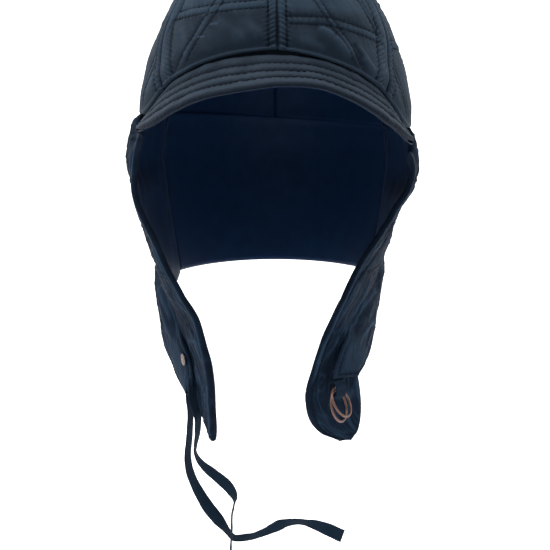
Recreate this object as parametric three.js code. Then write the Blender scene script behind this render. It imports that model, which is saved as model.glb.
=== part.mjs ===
// Aviator hat: a quilted six-panel crown, a short ribbed peak, lined ear flaps,
// a neck curtain, strap tongues with rings on one side and tie tapes on the other.
// Millimetres, +Z up. The face opening looks along -Y and +X is the wearer's left.
// The origin is the middle of the head opening, level with the lower edge of the crown.
import * as THREE from 'three';

// Driving sizes
const crown = { halfWidth: 82.7, halfDepth: 102, height: 108, wall: 4, shift: -0.8, topRadius: 0.9 };
const crownCurve = { bend: 1.6, taper: 0.5 };
const gap = 0.3; // clearance between neighbouring pieces
const tilt = 0.05; // the edges drop this much for each millimetre towards +X
// Seam angles in degrees, and how the panels' rows close up towards the top
const seam = { front: 1, back: 118, closing: 1.25 };
// Angles of the seams between the front and side panels, by share of the way up the crown
const sideSeamRows = {
  right: [
    { share: 0, angle: -50.5 },
    { share: 0.12, angle: -53.4 },
    { share: 0.24, angle: -58.2 },
    { share: 0.34, angle: -62 },
    { share: 0.6, angle: -63 },
    { share: 1, angle: -62 },
  ],
  left: [
    { share: 0, angle: 48.5 },
    { share: 0.12, angle: 51.4 },
    { share: 0.22, angle: 54.8 },
    { share: 0.33, angle: 60 },
    { share: 0.44, angle: 62.5 },
    { share: 0.7, angle: 63 },
    { share: 1, angle: 62 },
  ],
};
const quilt = { pitch: 27, slant: 58, puff: 1.3, rowShift: 2 };
// The groove along each seam, and the share of the way up from which it fades
const seamDip = { depth: 1.2, width: 3, end: 0.85 };
// The padded roll along the lower edge, which fades out between two angles
const lipRoll = { height: 1.8, at: 4, width: 4, fadeFrom: 60, fadeTo: 85 };
const calmWithin = { seam: 12, edge: 14, top: 0.8 }; // the padding flattens out near these
// The peak thins from an angle to its ends; its ribs are rounded, and it comes out faster than it drops
const peak = { endAngle: 80, thinFrom: 55, wall: 4.4, endWall: 3.4, drop: 0.85 };
const peakRib = { count: 4, height: 0.8, rounding: 0.7, from: 0.1 };
// The peak's root behind the lip, the share of its section that stays bare there, and how far it shows
// under the lip at the front and at the sides
const peakRoot = { tuck: 3, bare: 0.22, lean: 0.6, recess: 3.2, sideRecess: 1.3, sideFrom: 20, sideTo: 50 };
// Between these angles the peak runs out flatter before it drops
const peakBrow = { more: 0.4, from: 20, full: 40, fade: 58, end: 70 };
const curtain = { bottom: -106, wall: 3.2 };
const flap = { wall: 3.2, lobeWall: 4.4, lobeFrom: -100, lobeTo: -150, riseFrom: 0.3, riseTo: 0.44 };
const lining = { wall: 1, gap: 0.7, front: 0.05, rear: 0.985, top: 0.02, bottom: 0.95 };
const tongue = { wall: 2.2, rootWall: 1, bow: 0.8 };
const tab = { width: 6, wall: 1, channel: 5.5, top: -151.8, centre: [36, -63.1, -159], turn: 50 };
const tabFold = { legs: 5.6, bend: 6.3 }; // shares of the strip in each leg and in the bend
const ring = { outer: 19.4, wire: 1.7, lean: -22, turn: 62 };
const rivet = { radius: 3.7, height: 1.4, across: 0.17, along: 0.7 };
const tape = { width: 7.6, thickness: 1, steps: 36 };

// Lower edge of the crown, and how far the peak reaches out and down, by angle from the front
const edgeRows = [
  { angle: 0, lip: 34.6, reach: 15, peakEdge: 14.5 },
  { angle: 12, lip: 32.5, reach: 14.7, peakEdge: 12.9 },
  { angle: 23, lip: 29.5, reach: 13.8, peakEdge: 8.3 },
  { angle: 35, lip: 24.5, reach: 12.3, peakEdge: 0.3 },
  { angle: 45, lip: 17.2, reach: 10.4, peakEdge: -6.6 },
  { angle: 53, lip: 9, reach: 8.6, peakEdge: -10.4 },
  { angle: 60, lip: 1.8, reach: 6.6, peakEdge: -12 },
  { angle: 68, lip: -3.3, reach: 3.4, peakEdge: -12.6 },
  { angle: 80, lip: -4.5, reach: 1, peakEdge: -12.6 },
  { angle: 100, lip: -4.8, reach: 0.6, peakEdge: -12.6 },
  { angle: 180, lip: -5, reach: 0.6, peakEdge: -12.6 },
];

// How far the skirt stands out from the crown's lower outline, by height
const skirtRows = [
  { z: 0, out: -1.2 },
  { z: -12, out: 1.5 },
  { z: -30, out: 3.4 },
  { z: -55, out: 1 },
  { z: -80, out: -3 },
  { z: -106, out: -7 },
];

// Sections of each ear flap from the top down: its front edge, the middle of its side,
// and below the neck curtain its free rear edge
const flapRows = {
  right: [
    { z: -10.4, frontX: -79.5, frontY: -37, sideX: -84.5, sideY: 2 },
    { z: -22, frontX: -82.4, frontY: -33.5, sideX: -91.3, sideY: 0 },
    { z: -34, frontX: -84, frontY: -33.5, sideX: -91.3, sideY: 0 },
    { z: -46, frontX: -84.6, frontY: -36, sideX: -86.5, sideY: 0 },
    { z: -58, frontX: -80, frontY: -39.5, sideX: -84.8, sideY: -4 },
    { z: -73, frontX: -72.2, frontY: -43.5, sideX: -81, sideY: -7 },
    { z: -90, frontX: -64, frontY: -48.5, sideX: -75.2, sideY: -12 },
    { z: -106, frontX: -55, frontY: -52.5, sideX: -70.6, sideY: -13.7 },
    { z: -118, frontX: -47.5, frontY: -56.2, sideX: -65.8, sideY: -21.6, rearX: -71.8, rearY: 4 },
    { z: -130, frontX: -44, frontY: -59.5, sideX: -57.2, sideY: -35.6, rearX: -71.2, rearY: -8.5 },
    { z: -144, frontX: -41.4, frontY: -62, sideX: -49.2, sideY: -43.2, rearX: -66.2, rearY: -18.2 },
    { z: -158, frontX: -39.9, frontY: -63.2, sideX: -45.8, sideY: -46.4, rearX: -57.6, rearY: -24 },
    { z: -171, frontX: -39, frontY: -64, sideX: -44, sideY: -50, rearX: -50, rearY: -33 },
    { z: -179, frontX: -38.4, frontY: -64, sideX: -42.4, sideY: -54, rearX: -45.4, rearY: -43 },
    { z: -184.5, frontX: -38.7, frontY: -63.6, sideX: -41, sideY: -57.5, rearX: -42.6, rearY: -51 },
    { z: -189.5, frontX: -39.2, frontY: -62.6, sideX: -39.6, sideY: -61, rearX: -40, rearY: -59.2 },
  ],
  left: [
    { z: -22, frontX: 79.6, frontY: -35.5, sideX: 84, sideY: 2 },
    { z: -33, frontX: 80.6, frontY: -33, sideX: 87, sideY: -1 },
    { z: -45, frontX: 77.4, frontY: -35, sideX: 83.5, sideY: -2 },
    { z: -55, frontX: 70.4, frontY: -38.8, sideX: 76.8, sideY: -5 },
    { z: -66, frontX: 63, frontY: -43.2, sideX: 73.6, sideY: -8 },
    { z: -84, frontX: 50, frontY: -49.2, sideX: 67.4, sideY: -11 },
    { z: -106, frontX: 38.5, frontY: -55, sideX: 58.2, sideY: -20 },
    { z: -120, frontX: 32, frontY: -58, sideX: 52.2, sideY: -28.6, rearX: 62, rearY: 6 },
    { z: -135, frontX: 24.6, frontY: -60.5, sideX: 43.2, sideY: -47, rearX: 57.6, rearY: -20.5 },
    { z: -148, frontX: 20.8, frontY: -61, sideX: 36.5, sideY: -52.5, rearX: 49.6, rearY: -38 },
    { z: -160, frontX: 18, frontY: -61, sideX: 35, sideY: -55, rearX: 50, rearY: -44 },
    { z: -168, frontX: 18, frontY: -61, sideX: 35, sideY: -56, rearX: 50.4, rearY: -46.5 },
    { z: -175, frontX: 20.2, frontY: -60.8, sideX: 36, sideY: -56.3, rearX: 50.4, rearY: -48.5 },
    { z: -180.5, frontX: 24.4, frontY: -60.2, sideX: 38, sideY: -56.6, rearX: 49.8, rearY: -50 },
    { z: -185, frontX: 31, frontY: -59.2, sideX: 40.6, sideY: -56.4, rearX: 49.2, rearY: -52 },
    { z: -188.5, frontX: 38, frontY: -57.8, sideX: 42, sideY: -56.7, rearX: 46, rearY: -55.6 },
  ],
};

// Front and rear edge of each strap tongue, from its root at the curtain seam to its end
const tongueRows = {
  right: [
    { frontX: -74.8, frontY: 40, frontZ: -78, rearX: -70.2, rearY: 40, rearZ: -103 },
    { frontX: -77.6, frontY: 10, frontZ: -88, rearX: -75.4, rearY: 14, rearZ: -112 },
    { frontX: -75.4, frontY: -14, frontZ: -99, rearX: -75, rearY: 0, rearZ: -124 },
    { frontX: -69, frontY: -26, frontZ: -113, rearX: -73.8, rearY: -7, rearZ: -135 },
    { frontX: -60.5, frontY: -35, frontZ: -129, rearX: -71, rearY: -15, rearZ: -145 },
    { frontX: -53, frontY: -41, frontZ: -146, rearX: -64.6, rearY: -23, rearZ: -156 },
    { frontX: -51.4, frontY: -42, frontZ: -158, rearX: -60, rearY: -27, rearZ: -164 },
    { frontX: -52.9, frontY: -42, frontZ: -168.6, rearX: -55.6, rearY: -30, rearZ: -170 },
  ],
  left: [
    { frontX: 71.9, frontY: 40, frontZ: -80, rearX: 67.7, rearY: 40, rearZ: -104 },
    { frontX: 69.6, frontY: 8, frontZ: -92, rearX: 66.8, rearY: 14, rearZ: -113 },
    { frontX: 62.8, frontY: -15, frontZ: -104, rearX: 65.4, rearY: 3, rearZ: -125 },
    { frontX: 53, frontY: -36, frontZ: -115, rearX: 62.3, rearY: -15, rearZ: -134 },
    { frontX: 40.8, frontY: -54, frontZ: -131, rearX: 57.6, rearY: -32, rearZ: -144 },
    { frontX: 35.7, frontY: -62, frontZ: -142, rearX: 52, rearY: -45, rearZ: -149.5 },
    { frontX: 33.1, frontY: -66.5, frontZ: -150.5, rearX: 48.4, rearY: -54, rearZ: -150.5 },
  ],
};

// Route of each tie tape; face is the angle its broad side turns away from the front
const tapeRoutes = {
  tie_tape_long: [
    { x: -53.4, y: -35, z: -169.8, face: 61 },
    { x: -52.8, y: -36.0, z: -177.2, face: 66 },
    { x: -52.7, y: -38.0, z: -184.2, face: 66 },
    { x: -53.3, y: -40.0, z: -194.3, face: 64 },
    { x: -54.1, y: -42.0, z: -201.9, face: 63 },
    { x: -54.0, y: -44.0, z: -207.6, face: 63 },
    { x: -52.9, y: -46.0, z: -213.8, face: 62 },
    { x: -49.7, y: -48.5, z: -221.0, face: 57 },
    { x: -45.2, y: -51.0, z: -228.5, face: 45 },
    { x: -40.9, y: -53.0, z: -234.7, face: 34 },
    { x: -36.3, y: -55.0, z: -239.7, face: 36 },
    { x: -32.1, y: -57.0, z: -244.3, face: 65 },
    { x: -28.9, y: -59.0, z: -247.7, face: 82 },
    { x: -25.6, y: -61.0, z: -249.9, face: 86 },
    { x: -20.7, y: -62.5, z: -249.5, face: 82 },
    { x: -14.7, y: -63.5, z: -248.1, face: 84 },
    { x: -8.7, y: -64.5, z: -245.5, face: 79 },
    { x: -3.4, y: -65.0, z: -242.8, face: 69 },
    { x: 1.4, y: -65.5, z: -240.3, face: 60 },
    { x: 6.1, y: -66.0, z: -238.5, face: 79 },
    { x: 10.8, y: -66.5, z: -237.6, face: 88 },
    { x: 15.5, y: -67.0, z: -237.6, face: 88 },
    { x: 19.1, y: -67.5, z: -238.1, face: 79 },
    { x: 24.4, y: -68.5, z: -239.2, face: 60 },
    { x: 30.2, y: -69.5, z: -241.1, face: 38 },
    { x: 35.2, y: -70.5, z: -243.1, face: 30 },
    { x: 38.8, y: -71.0, z: -244.5, face: 29 },
  ],
  tie_tape_short: [
    { x: -51.3, y: -42.5, z: -169.2, face: 52 },
    { x: -49.6, y: -44.0, z: -174.7, face: 59 },
    { x: -48.2, y: -45.0, z: -180.0, face: 72 },
    { x: -48.0, y: -46.0, z: -184.1, face: 80 },
    { x: -48.2, y: -47.0, z: -190.0, face: 83 },
    { x: -49.1, y: -49.0, z: -196.3, face: 83 },
    { x: -48.9, y: -51.0, z: -199.9, face: 87 },
    { x: -46.7, y: -53.0, z: -204.0, face: 82 },
    { x: -43.2, y: -55.0, z: -207.5, face: 74 },
    { x: -37.9, y: -58.0, z: -210.8, face: 62 },
    { x: -33.0, y: -60.5, z: -213.8, face: 55 },
    { x: -29.0, y: -63.0, z: -216.7, face: 52 },
    { x: -26.2, y: -65.5, z: -220.0, face: 61 },
    { x: -24.7, y: -67.5, z: -223.5, face: 80 },
    { x: -25.2, y: -68.5, z: -227.2, face: 89 },
    { x: -26.2, y: -69.5, z: -232.0, face: 89 },
    { x: -26.5, y: -70.0, z: -241.2, face: 89 },
    { x: -27.1, y: -70.0, z: -253.1, face: 89 },
    { x: -27.5, y: -69.5, z: -267.9, face: 87 },
    { x: -27.0, y: -69.0, z: -283.5, face: 82 },
    { x: -25.6, y: -68.5, z: -300.5, face: 75 },
    { x: -24.2, y: -68.0, z: -316.5, face: 69 },
  ],
};

// Small helpers
const radians = (degrees) => (degrees * Math.PI) / 180;
const mix = (a, b, t) => a + (b - a) * t;
const smooth = (from, to, x) => {
  const t = Math.min(1, Math.max(0, (x - from) / (to - from)));
  return t * t * (3 - 2 * t);
};
const clamp = (x, low, high) => Math.min(high, Math.max(low, x));
const bell = (x, width) => Math.exp(-((x / width) ** 2));

// A smooth value at place t (counted in rows) of one column of a table
function ofColumn(rows, column, t) {
  const i = Math.min(Math.floor(t), rows.length - 2);
  const value = (k) => rows[Math.min(Math.max(k, 0), rows.length - 1)][column];
  const [a, b, c, d] = [i - 1, i, i + 1, i + 2].map(value);
  const s = t - i;
  const before = a === undefined ? b : a;
  return b + 0.5 * s * (c - before + s * (2 * before - 5 * b + 4 * c - d + s * (3 * (b - c) + d - before)));
}

// The place t at which a column of a table, sorted up or down, has the value x
function placeOf(rows, column, x) {
  const up = rows[1][column] > rows[0][column];
  for (let i = 0; i < rows.length - 1; i += 1) {
    const [low, high] = [rows[i][column], rows[i + 1][column]];
    if (up ? x <= high : x >= high) return i + Math.max(0, (x - low) / (high - low));
  }
  return rows.length - 1;
}

const lookUp = (rows, key, x, column) => ofColumn(rows, column, placeOf(rows, key, x));

// Outward direction, level, at an angle round the head opening
function levelNormal(angle) {
  const a = radians(angle);
  const [x, y] = [Math.sin(a) / crown.halfWidth, -Math.cos(a) / crown.halfDepth];
  return [x / Math.hypot(x, y), y / Math.hypot(x, y)];
}

// Width of the crown at a height, as a share of its width at the opening
const crownWidth = (z, height) =>
  z <= 0 ? 1 : (1 - Math.min(1, z / height) ** crownCurve.bend) ** crownCurve.taper;

// A point of the crown, inset by a wall and pushed out by an offset
function crownPoint(angle, z, inset, offset) {
  const a = radians(angle);
  const width = Math.max(crownWidth(z, crown.height - inset), crown.topRadius / crown.halfWidth);
  const [nx, ny] = levelNormal(angle);
  const x = crown.shift + (crown.halfWidth - inset) * width * Math.sin(a) + offset * nx;
  const y = -(crown.halfDepth - inset) * width * Math.cos(a) + offset * ny;
  return [x, y, z];
}

const crownEdge = (angle) => {
  const lip = lookUp(edgeRows, 'angle', Math.abs(angle), 'lip');
  return lip - tilt * crown.halfWidth * Math.sin(radians(angle));
};

const peakEdge = (angle) => {
  const edge = lookUp(edgeRows, 'angle', Math.abs(angle), 'peakEdge');
  return edge - tilt * crown.halfWidth * Math.sin(radians(angle));
};

// A point of the skirt at an angle and a height
function skirtPoint(angle, z) {
  const out = lookUp(skirtRows, 'z', z, 'out');
  return crownPoint(angle, z, 0, out);
}

// Turns a geometry's triangles round if they point inwards
function facingOut(geometry) {
  const p = geometry.getAttribute('position');
  const index = geometry.getIndex();
  const [a, b, c] = [new THREE.Vector3(), new THREE.Vector3(), new THREE.Vector3()];
  let volume = 0;
  for (let i = 0; i < index.count; i += 3) {
    a.fromBufferAttribute(p, index.getX(i));
    b.fromBufferAttribute(p, index.getX(i + 1));
    c.fromBufferAttribute(p, index.getX(i + 2));
    volume += a.dot(b.cross(c));
  }
  if (volume < 0) {
    for (let i = 0; i < index.count; i += 3) {
      const second = index.getX(i + 1);
      index.setX(i + 1, index.getX(i + 2));
      index.setX(i + 2, second);
    }
  }
  geometry.computeVertexNormals();
  return geometry;
}

function geometryOf(points, triangles) {
  const geometry = new THREE.BufferGeometry();
  geometry.setAttribute('position', new THREE.Float32BufferAttribute(points.flat(), 3));
  geometry.setIndex(triangles);
  return facingOut(geometry);
}

// A wall between an outer and an inner surface, each a function of two shares from 0 to 1
function wall(columns, rows, outer, inner) {
  const points = [];
  const triangles = [];
  for (const surface of [outer, inner]) {
    for (let j = 0; j <= rows; j += 1) {
      for (let i = 0; i <= columns; i += 1) points.push(surface(i / columns, j / rows));
    }
  }
  const layer = (columns + 1) * (rows + 1);
  const at = (side, i, j) => side * layer + j * (columns + 1) + i;
  const quad = (a, b, c, d) => triangles.push(a, b, c, a, c, d);
  for (let j = 0; j < rows; j += 1) {
    for (let i = 0; i < columns; i += 1) {
      quad(at(0, i, j), at(0, i + 1, j), at(0, i + 1, j + 1), at(0, i, j + 1));
      quad(at(1, i, j), at(1, i, j + 1), at(1, i + 1, j + 1), at(1, i + 1, j));
    }
    quad(at(0, 0, j), at(0, 0, j + 1), at(1, 0, j + 1), at(1, 0, j));
    quad(at(0, columns, j), at(1, columns, j), at(1, columns, j + 1), at(0, columns, j + 1));
  }
  for (let i = 0; i < columns; i += 1) {
    quad(at(0, i, 0), at(1, i, 0), at(1, i + 1, 0), at(0, i + 1, 0));
    quad(at(0, i, rows), at(0, i + 1, rows), at(1, i + 1, rows), at(1, i, rows));
  }
  return geometryOf(points, triangles);
}

// A surface's outward direction where its two shares are s and t
function normalOf(surface, s, t, outward) {
  const step = 0.004; // of the surface's own shares
  const from = (u, v) => new THREE.Vector3(...surface(u, v));
  const along = from(Math.min(1, s + step), t).sub(from(Math.max(0, s - step), t));
  const down = from(s, Math.min(1, t + step)).sub(from(s, Math.max(0, t - step)));
  const normal = along.cross(down).normalize();
  return normal.multiplyScalar(Math.sign(normal.x * outward[0] + normal.y * outward[1]) || 1);
}

const cloth = new THREE.MeshStandardMaterial({ color: 0x37424f, roughness: 0.78, metalness: 0 });
const flapCloth = new THREE.MeshStandardMaterial({ color: 0x28323f, roughness: 0.8, metalness: 0 });
const liningCloth = new THREE.MeshStandardMaterial({ color: 0x0f1724, roughness: 0.85, metalness: 0 });
const tapeCloth = new THREE.MeshStandardMaterial({ color: 0x1c2833, roughness: 0.8, metalness: 0 });
const copper = new THREE.MeshStandardMaterial({ color: 0x785a55, roughness: 0.4, metalness: 1 });
const nickel = new THREE.MeshStandardMaterial({ color: 0x8a817e, roughness: 0.4, metalness: 1 });

const hat = new THREE.Group();
function add(name, geometry, material) {
  const mesh = new THREE.Mesh(geometry, material);
  mesh.name = name;
  hat.add(mesh);
  return mesh;
}

// Height of the padding between the quilting rows, 0 on a row and 1 midway.
// One family of rows is level, the other slants up towards the front seam.
function quiltPuff(across, up) {
  const slant = radians(quilt.slant);
  const level = 0.5 - 0.5 * Math.cos((2 * Math.PI * up) / quilt.pitch);
  const oblique = (Math.abs(across) * Math.sin(slant) + up * Math.cos(slant)) / quilt.pitch;
  return Math.sqrt(level * (0.5 - 0.5 * Math.cos(2 * Math.PI * oblique)));
}

// One panel of the crown between two seams, given as functions of the share up the crown
function crownPanel(name, from, to) {
  const place = (s, t, inset) => {
    const share = t ** seam.closing;
    const rise = Math.sin((share * Math.PI) / 2) ** seam.closing;
    const angleAt = (u) => mix(from(u), to(u), s);
    const edge = crownEdge(angleAt(share));
    const z = mix(edge, crown.height - inset, rise);
    const width = Math.max(crownWidth(z, crown.height - inset), crown.topRadius / crown.halfWidth);
    const radius = crown.halfWidth * width;
    const halfGap = (gap / 2 / radius) * (180 / Math.PI);
    const angle = mix(from(share) + halfGap, to(share) - halfGap, s);
    return { angle, z, share, radius, edge };
  };
  const outer = (s, t) => {
    const { angle, z, share, radius, edge } = place(s, t, 0);
    const span = radians(to(share) - from(share)) * radius;
    const fromSeam = Math.min(s, 1 - s) * span;
    const fromEdge = z - edge;
    const across = radians(angle - seam.front) * radius;
    const below = 1 - smooth(calmWithin.top, 1, share);
    const calm = smooth(0, calmWithin.seam, fromSeam) * smooth(0, calmWithin.edge, fromEdge) * below;
    const shown = 1 - smooth(lipRoll.fadeFrom, lipRoll.fadeTo, Math.abs(angle));
    const rolled = lipRoll.height * bell(fromEdge - lipRoll.at, lipRoll.width) * shown;
    const dip = seamDip.depth * bell(fromSeam, seamDip.width) * (1 - smooth(seamDip.end, 1, share));
    const padding = (quilt.puff * quiltPuff(across, fromEdge + quilt.rowShift) - 1) * calm;
    return crownPoint(angle, z, 0, padding + rolled - dip);
  };
  const inner = (s, t) => {
    const { angle, z } = place(s, t, crown.wall);
    return crownPoint(angle, z, crown.wall, 0);
  };
  add(name, wall(10, 15, outer, inner), cloth);
}

const always = (angle) => () => angle;
const sideSeam = (side) => (share) => lookUp(sideSeamRows[side], 'share', share, 'angle');
const frontSeam = (share) => seam.front * (1 - share);
crownPanel('crown_front_right', sideSeam('right'), frontSeam);
crownPanel('crown_front_left', frontSeam, sideSeam('left'));
crownPanel('crown_side_right', always(-seam.back), sideSeam('right'));
crownPanel('crown_side_left', sideSeam('left'), always(seam.back));
crownPanel('crown_back_right', always(-180), always(-seam.back));
crownPanel('crown_back_left', always(seam.back), always(180));

// The peak: its root is tucked in behind the crown's lip and its ribs run from end to end
function peakSection(angle, share) {
  const lip = crownEdge(angle);
  const edge = peakEdge(angle);
  const reach = lookUp(edgeRows, 'angle', Math.abs(angle), 'reach');
  const tuckIn = -crown.wall - 3 * gap;
  const aside = smooth(peakRoot.sideFrom, peakRoot.sideTo, Math.abs(angle));
  const start = lip - mix(peakRoot.recess, peakRoot.sideRecess, aside);
  if (share < peakRoot.bare) {
    const t = share / peakRoot.bare;
    return [mix(tuckIn, tuckIn + peakRoot.lean, t * t), mix(lip + peakRoot.tuck, start, t)];
  }
  const t = (share - peakRoot.bare) / (1 - peakRoot.bare);
  const round = Math.abs(Math.sin(Math.PI * t * peakRib.count)) ** peakRib.rounding;
  const rib = round * peakRib.height * smooth(0, peakRib.from, t);
  const raised = rib * Math.SQRT1_2; // a rib stands out and up alike
  const brow = smooth(peakBrow.from, peakBrow.full, Math.abs(angle));
  const faded = 1 - smooth(peakBrow.fade, peakBrow.end, Math.abs(angle));
  const fallen = t ** (1 + peakBrow.more * brow * faded);
  return [mix(tuckIn + peakRoot.lean, reach, t ** peak.drop) + raised, mix(start, edge, fallen) + raised];
}

function peakPoint(angle, share, depth) {
  const [out, z] = peakSection(angle, share);
  const step = 0.02;
  const [outA, zA] = peakSection(angle, Math.max(0, share - step));
  const [outB, zB] = peakSection(angle, Math.min(1, share + step));
  const long = Math.hypot(outB - outA, zB - zA);
  const endShare = smooth(peak.thinFrom, peak.endAngle, Math.abs(angle));
  const inward = depth * mix(peak.wall, peak.endWall, endShare);
  const offset = out + ((zB - zA) / long) * inward;
  const height = z - ((outB - outA) / long) * inward;
  return crownPoint(angle, height, 0, offset);
}

const peakAngle = (s) => mix(-peak.endAngle, peak.endAngle, s);
const peakOuter = (s, t) => peakPoint(peakAngle(s), t, 0);
const peakInner = (s, t) => peakPoint(peakAngle(s), t, 1);
add('peak', wall(30, 10, peakOuter, peakInner), cloth);

// An ear flap: level sections, each a curve from the front edge through the side to the rear
function flapSurface(side) {
  const rows = flapRows[side];
  const sign = side === 'left' ? 1 : -1;
  const curtainAt = placeOf(rows, 'z', curtain.bottom);
  const seamAngle = sign * (seam.back - (gap / 2 / crown.halfDepth) * (180 / Math.PI));
  return (s, t) => {
    const at = t * (rows.length - 1);
    const i = Math.min(Math.floor(at), rows.length - 2);
    const z = mix(rows[i].z, rows[i + 1].z, at - i);
    const front = [ofColumn(rows, 'frontX', at), ofColumn(rows, 'frontY', at)];
    const side = [ofColumn(rows, 'sideX', at), ofColumn(rows, 'sideY', at)];
    const corner = skirtPoint(seamAngle, Math.max(z, curtain.bottom));
    let rear = [corner[0], corner[1]];
    if (at > curtainAt) {
      const free = [{ rearX: rear[0], rearY: rear[1] }, ...rows.slice(Math.round(curtainAt) + 1)];
      rear = [ofColumn(free, 'rearX', at - curtainAt), ofColumn(free, 'rearY', at - curtainAt)];
    }
    const blend = (k) => {
      const control = 2 * side[k] - (front[k] + rear[k]) / 2;
      return (1 - s) ** 2 * front[k] + 2 * s * (1 - s) * control + s ** 2 * rear[k];
    };
    const [x, y] = [blend(0), blend(1)];
    const angle = sign * mix(70, seam.back, s);
    const rise = smooth(flap.riseFrom, flap.riseTo, s) * Math.max(0, 1 - at);
    return [x, y, mix(z, crownEdge(angle) - gap, rise)];
  };
}

const outwardOf = (side) => [side === 'left' ? 1 : -1, 0];

// A flap's wall at depth 0 on its outside and 1 on its inside, with more behind that
function flapLayer(side, depthOf) {
  const surface = flapSurface(side);
  const seamNormal = new THREE.Vector3(...levelNormal(seam.back * outwardOf(side)[0]), 0);
  return (s, t) => {
    const point = new THREE.Vector3(...surface(s, t));
    const normal = normalOf(surface, s, t, [outwardOf(side)[0], side === 'left' ? -0.6 : -0.3]);
    const beside = smooth(curtain.bottom - 14, curtain.bottom - 1, point.z);
    normal.lerp(seamNormal, smooth(0.8, 1, s) * beside).normalize();
    const thick = mix(flap.wall, flap.lobeWall, smooth(-flap.lobeFrom, -flap.lobeTo, -point.z));
    return point.addScaledVector(normal, -depthOf(thick)).toArray();
  };
}

for (const side of ['right', 'left']) {
  const outer = flapLayer(side, () => 0);
  const inner = flapLayer(side, (thick) => thick);
  add(`ear_flap_${side}`, wall(8, 20, outer, inner), flapCloth);

  const within = (surface) => (s, t) =>
    surface(clamp(s, lining.front, lining.rear), clamp(t, lining.top, lining.bottom));
  const liningOuter = within(flapLayer(side, (thick) => thick + lining.gap));
  const liningInner = within(flapLayer(side, (thick) => thick + lining.gap + lining.wall));
  add(`flap_lining_${side}`, wall(8, 20, liningOuter, liningInner), liningCloth);
}

// The neck curtain closes the back between the two flaps
function curtainPoint(s, t, depth) {
  const halfGap = (gap / 2 / crown.halfDepth) * (180 / Math.PI);
  const angle = mix(seam.back + halfGap, 360 - seam.back - halfGap, s);
  const turned = angle > 180 ? angle - 360 : angle;
  const z = mix(crownEdge(turned) - gap, curtain.bottom, t);
  const [x, y] = skirtPoint(angle, z);
  const [nx, ny] = levelNormal(angle);
  return [x - depth * nx, y - depth * ny, z];
}
const curtainOuter = (s, t) => curtainPoint(s, t, 0);
const curtainInner = (s, t) => curtainPoint(s, t, curtain.wall);
add('neck_curtain', wall(14, 7, curtainOuter, curtainInner), flapCloth);

// A strap tongue lies outside its flap, from the curtain seam down to its end
function tongueSurface(side) {
  const rows = tongueRows[side];
  return (s, t) => {
    const at = t * (rows.length - 1);
    const column = (name) => ofColumn(rows, name, at);
    const bow = tongue.bow * 4 * s * (1 - s) * outwardOf(side)[0];
    return [
      mix(column('frontX'), column('rearX'), s) + bow,
      mix(column('frontY'), column('rearY'), s),
      mix(column('frontZ'), column('rearZ'), s),
    ];
  };
}

function tongueLayer(side, depth) {
  const surface = tongueSurface(side);
  return (s, t) => {
    const normal = normalOf(surface, s, t, [outwardOf(side)[0], -0.3]);
    const thick = mix(tongue.rootWall, tongue.wall, smooth(0, 0.4, t));
    return new THREE.Vector3(...surface(s, t)).addScaledVector(normal, -depth * thick).toArray();
  };
}

for (const side of ['right', 'left']) {
  add(`strap_tongue_${side}`, wall(5, 14, tongueLayer(side, 0), tongueLayer(side, 1)), flapCloth);
}

// The ring tab: a strip folded into a narrow loop, its channel across the strip
const acrossAt = (turn) => new THREE.Vector3(Math.cos(radians(turn)), Math.sin(radians(turn)), 0);
const facingAt = (turn) => new THREE.Vector3(Math.sin(radians(turn)), -Math.cos(radians(turn)), 0);
const tabCentre = new THREE.Vector3(...tab.centre);
function tabPoint(s, t, offset) {
  const half = tab.channel / 2 + offset;
  const reach = tabFold.legs + tabFold.bend / 2;
  const path = mix(-reach, reach, s);
  const share = (Math.abs(path) - tabFold.bend / 2) / tabFold.legs;
  const turn = (path / tabFold.bend) * Math.PI;
  let out = half * Math.sin(turn);
  let up = -half * Math.cos(turn);
  if (share >= 0) {
    out = Math.sign(path) * (half - (tab.channel / 2 - gap / 2) * smooth(0.6, 1, share));
    up = (tab.top - tab.centre[2]) * share;
  }
  const point = tabCentre.clone().addScaledVector(facingAt(tab.turn), out);
  point.addScaledVector(acrossAt(tab.turn), (t - 0.5) * tab.width);
  return [point.x, point.y, point.z + up];
}
add('ring_tab', wall(14, 3, (s, t) => tabPoint(s, t, tab.wall), (s, t) => tabPoint(s, t, 0)), flapCloth);

// A round wire ring that hangs in the tab, swung out by an angle
function ringGeometry(top, swing) {
  const radius = (ring.outer - ring.wire) / 2;
  const across = acrossAt(ring.turn);
  const down = facingAt(ring.turn).multiplyScalar(Math.sin(radians(swing)));
  down.add(new THREE.Vector3(0, 0, -Math.cos(radians(swing))));
  const axis = across.clone().cross(down);
  const centre = tabCentre.clone().add(new THREE.Vector3(0, 0, top));
  centre.addScaledVector(down, radius * Math.cos(radians(ring.lean)));
  centre.addScaledVector(across, radius * Math.sin(radians(ring.lean)));
  const place = new THREE.Matrix4().makeBasis(across, down, axis).setPosition(centre);
  return new THREE.TorusGeometry(radius, ring.wire / 2, 6, 24).applyMatrix4(place);
}
add('ring_front', ringGeometry(2.9, 30), copper);
add('ring_back', ringGeometry(0.85, 18), copper);

// The rivet: a low domed cap on the tongue's outer face
const rivetProfile = [
  [0, 0],
  [rivet.radius, 0],
  [rivet.radius, rivet.height * 0.5],
  [rivet.radius * 0.85, rivet.height * 0.85],
  [rivet.radius * 0.45, rivet.height],
  [0, rivet.height],
].map(([x, y]) => new THREE.Vector2(x, y));
const rivetSeat = tongueSurface('right');
const rivetNormal = normalOf(rivetSeat, rivet.across, rivet.along, [-1, -0.3]);
const cap = add('rivet', new THREE.LatheGeometry(rivetProfile, 20), nickel);
cap.position.set(...rivetSeat(rivet.across, rivet.along)).addScaledVector(rivetNormal, gap);
cap.quaternion.setFromUnitVectors(new THREE.Vector3(0, 1, 0), rivetNormal);

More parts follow.
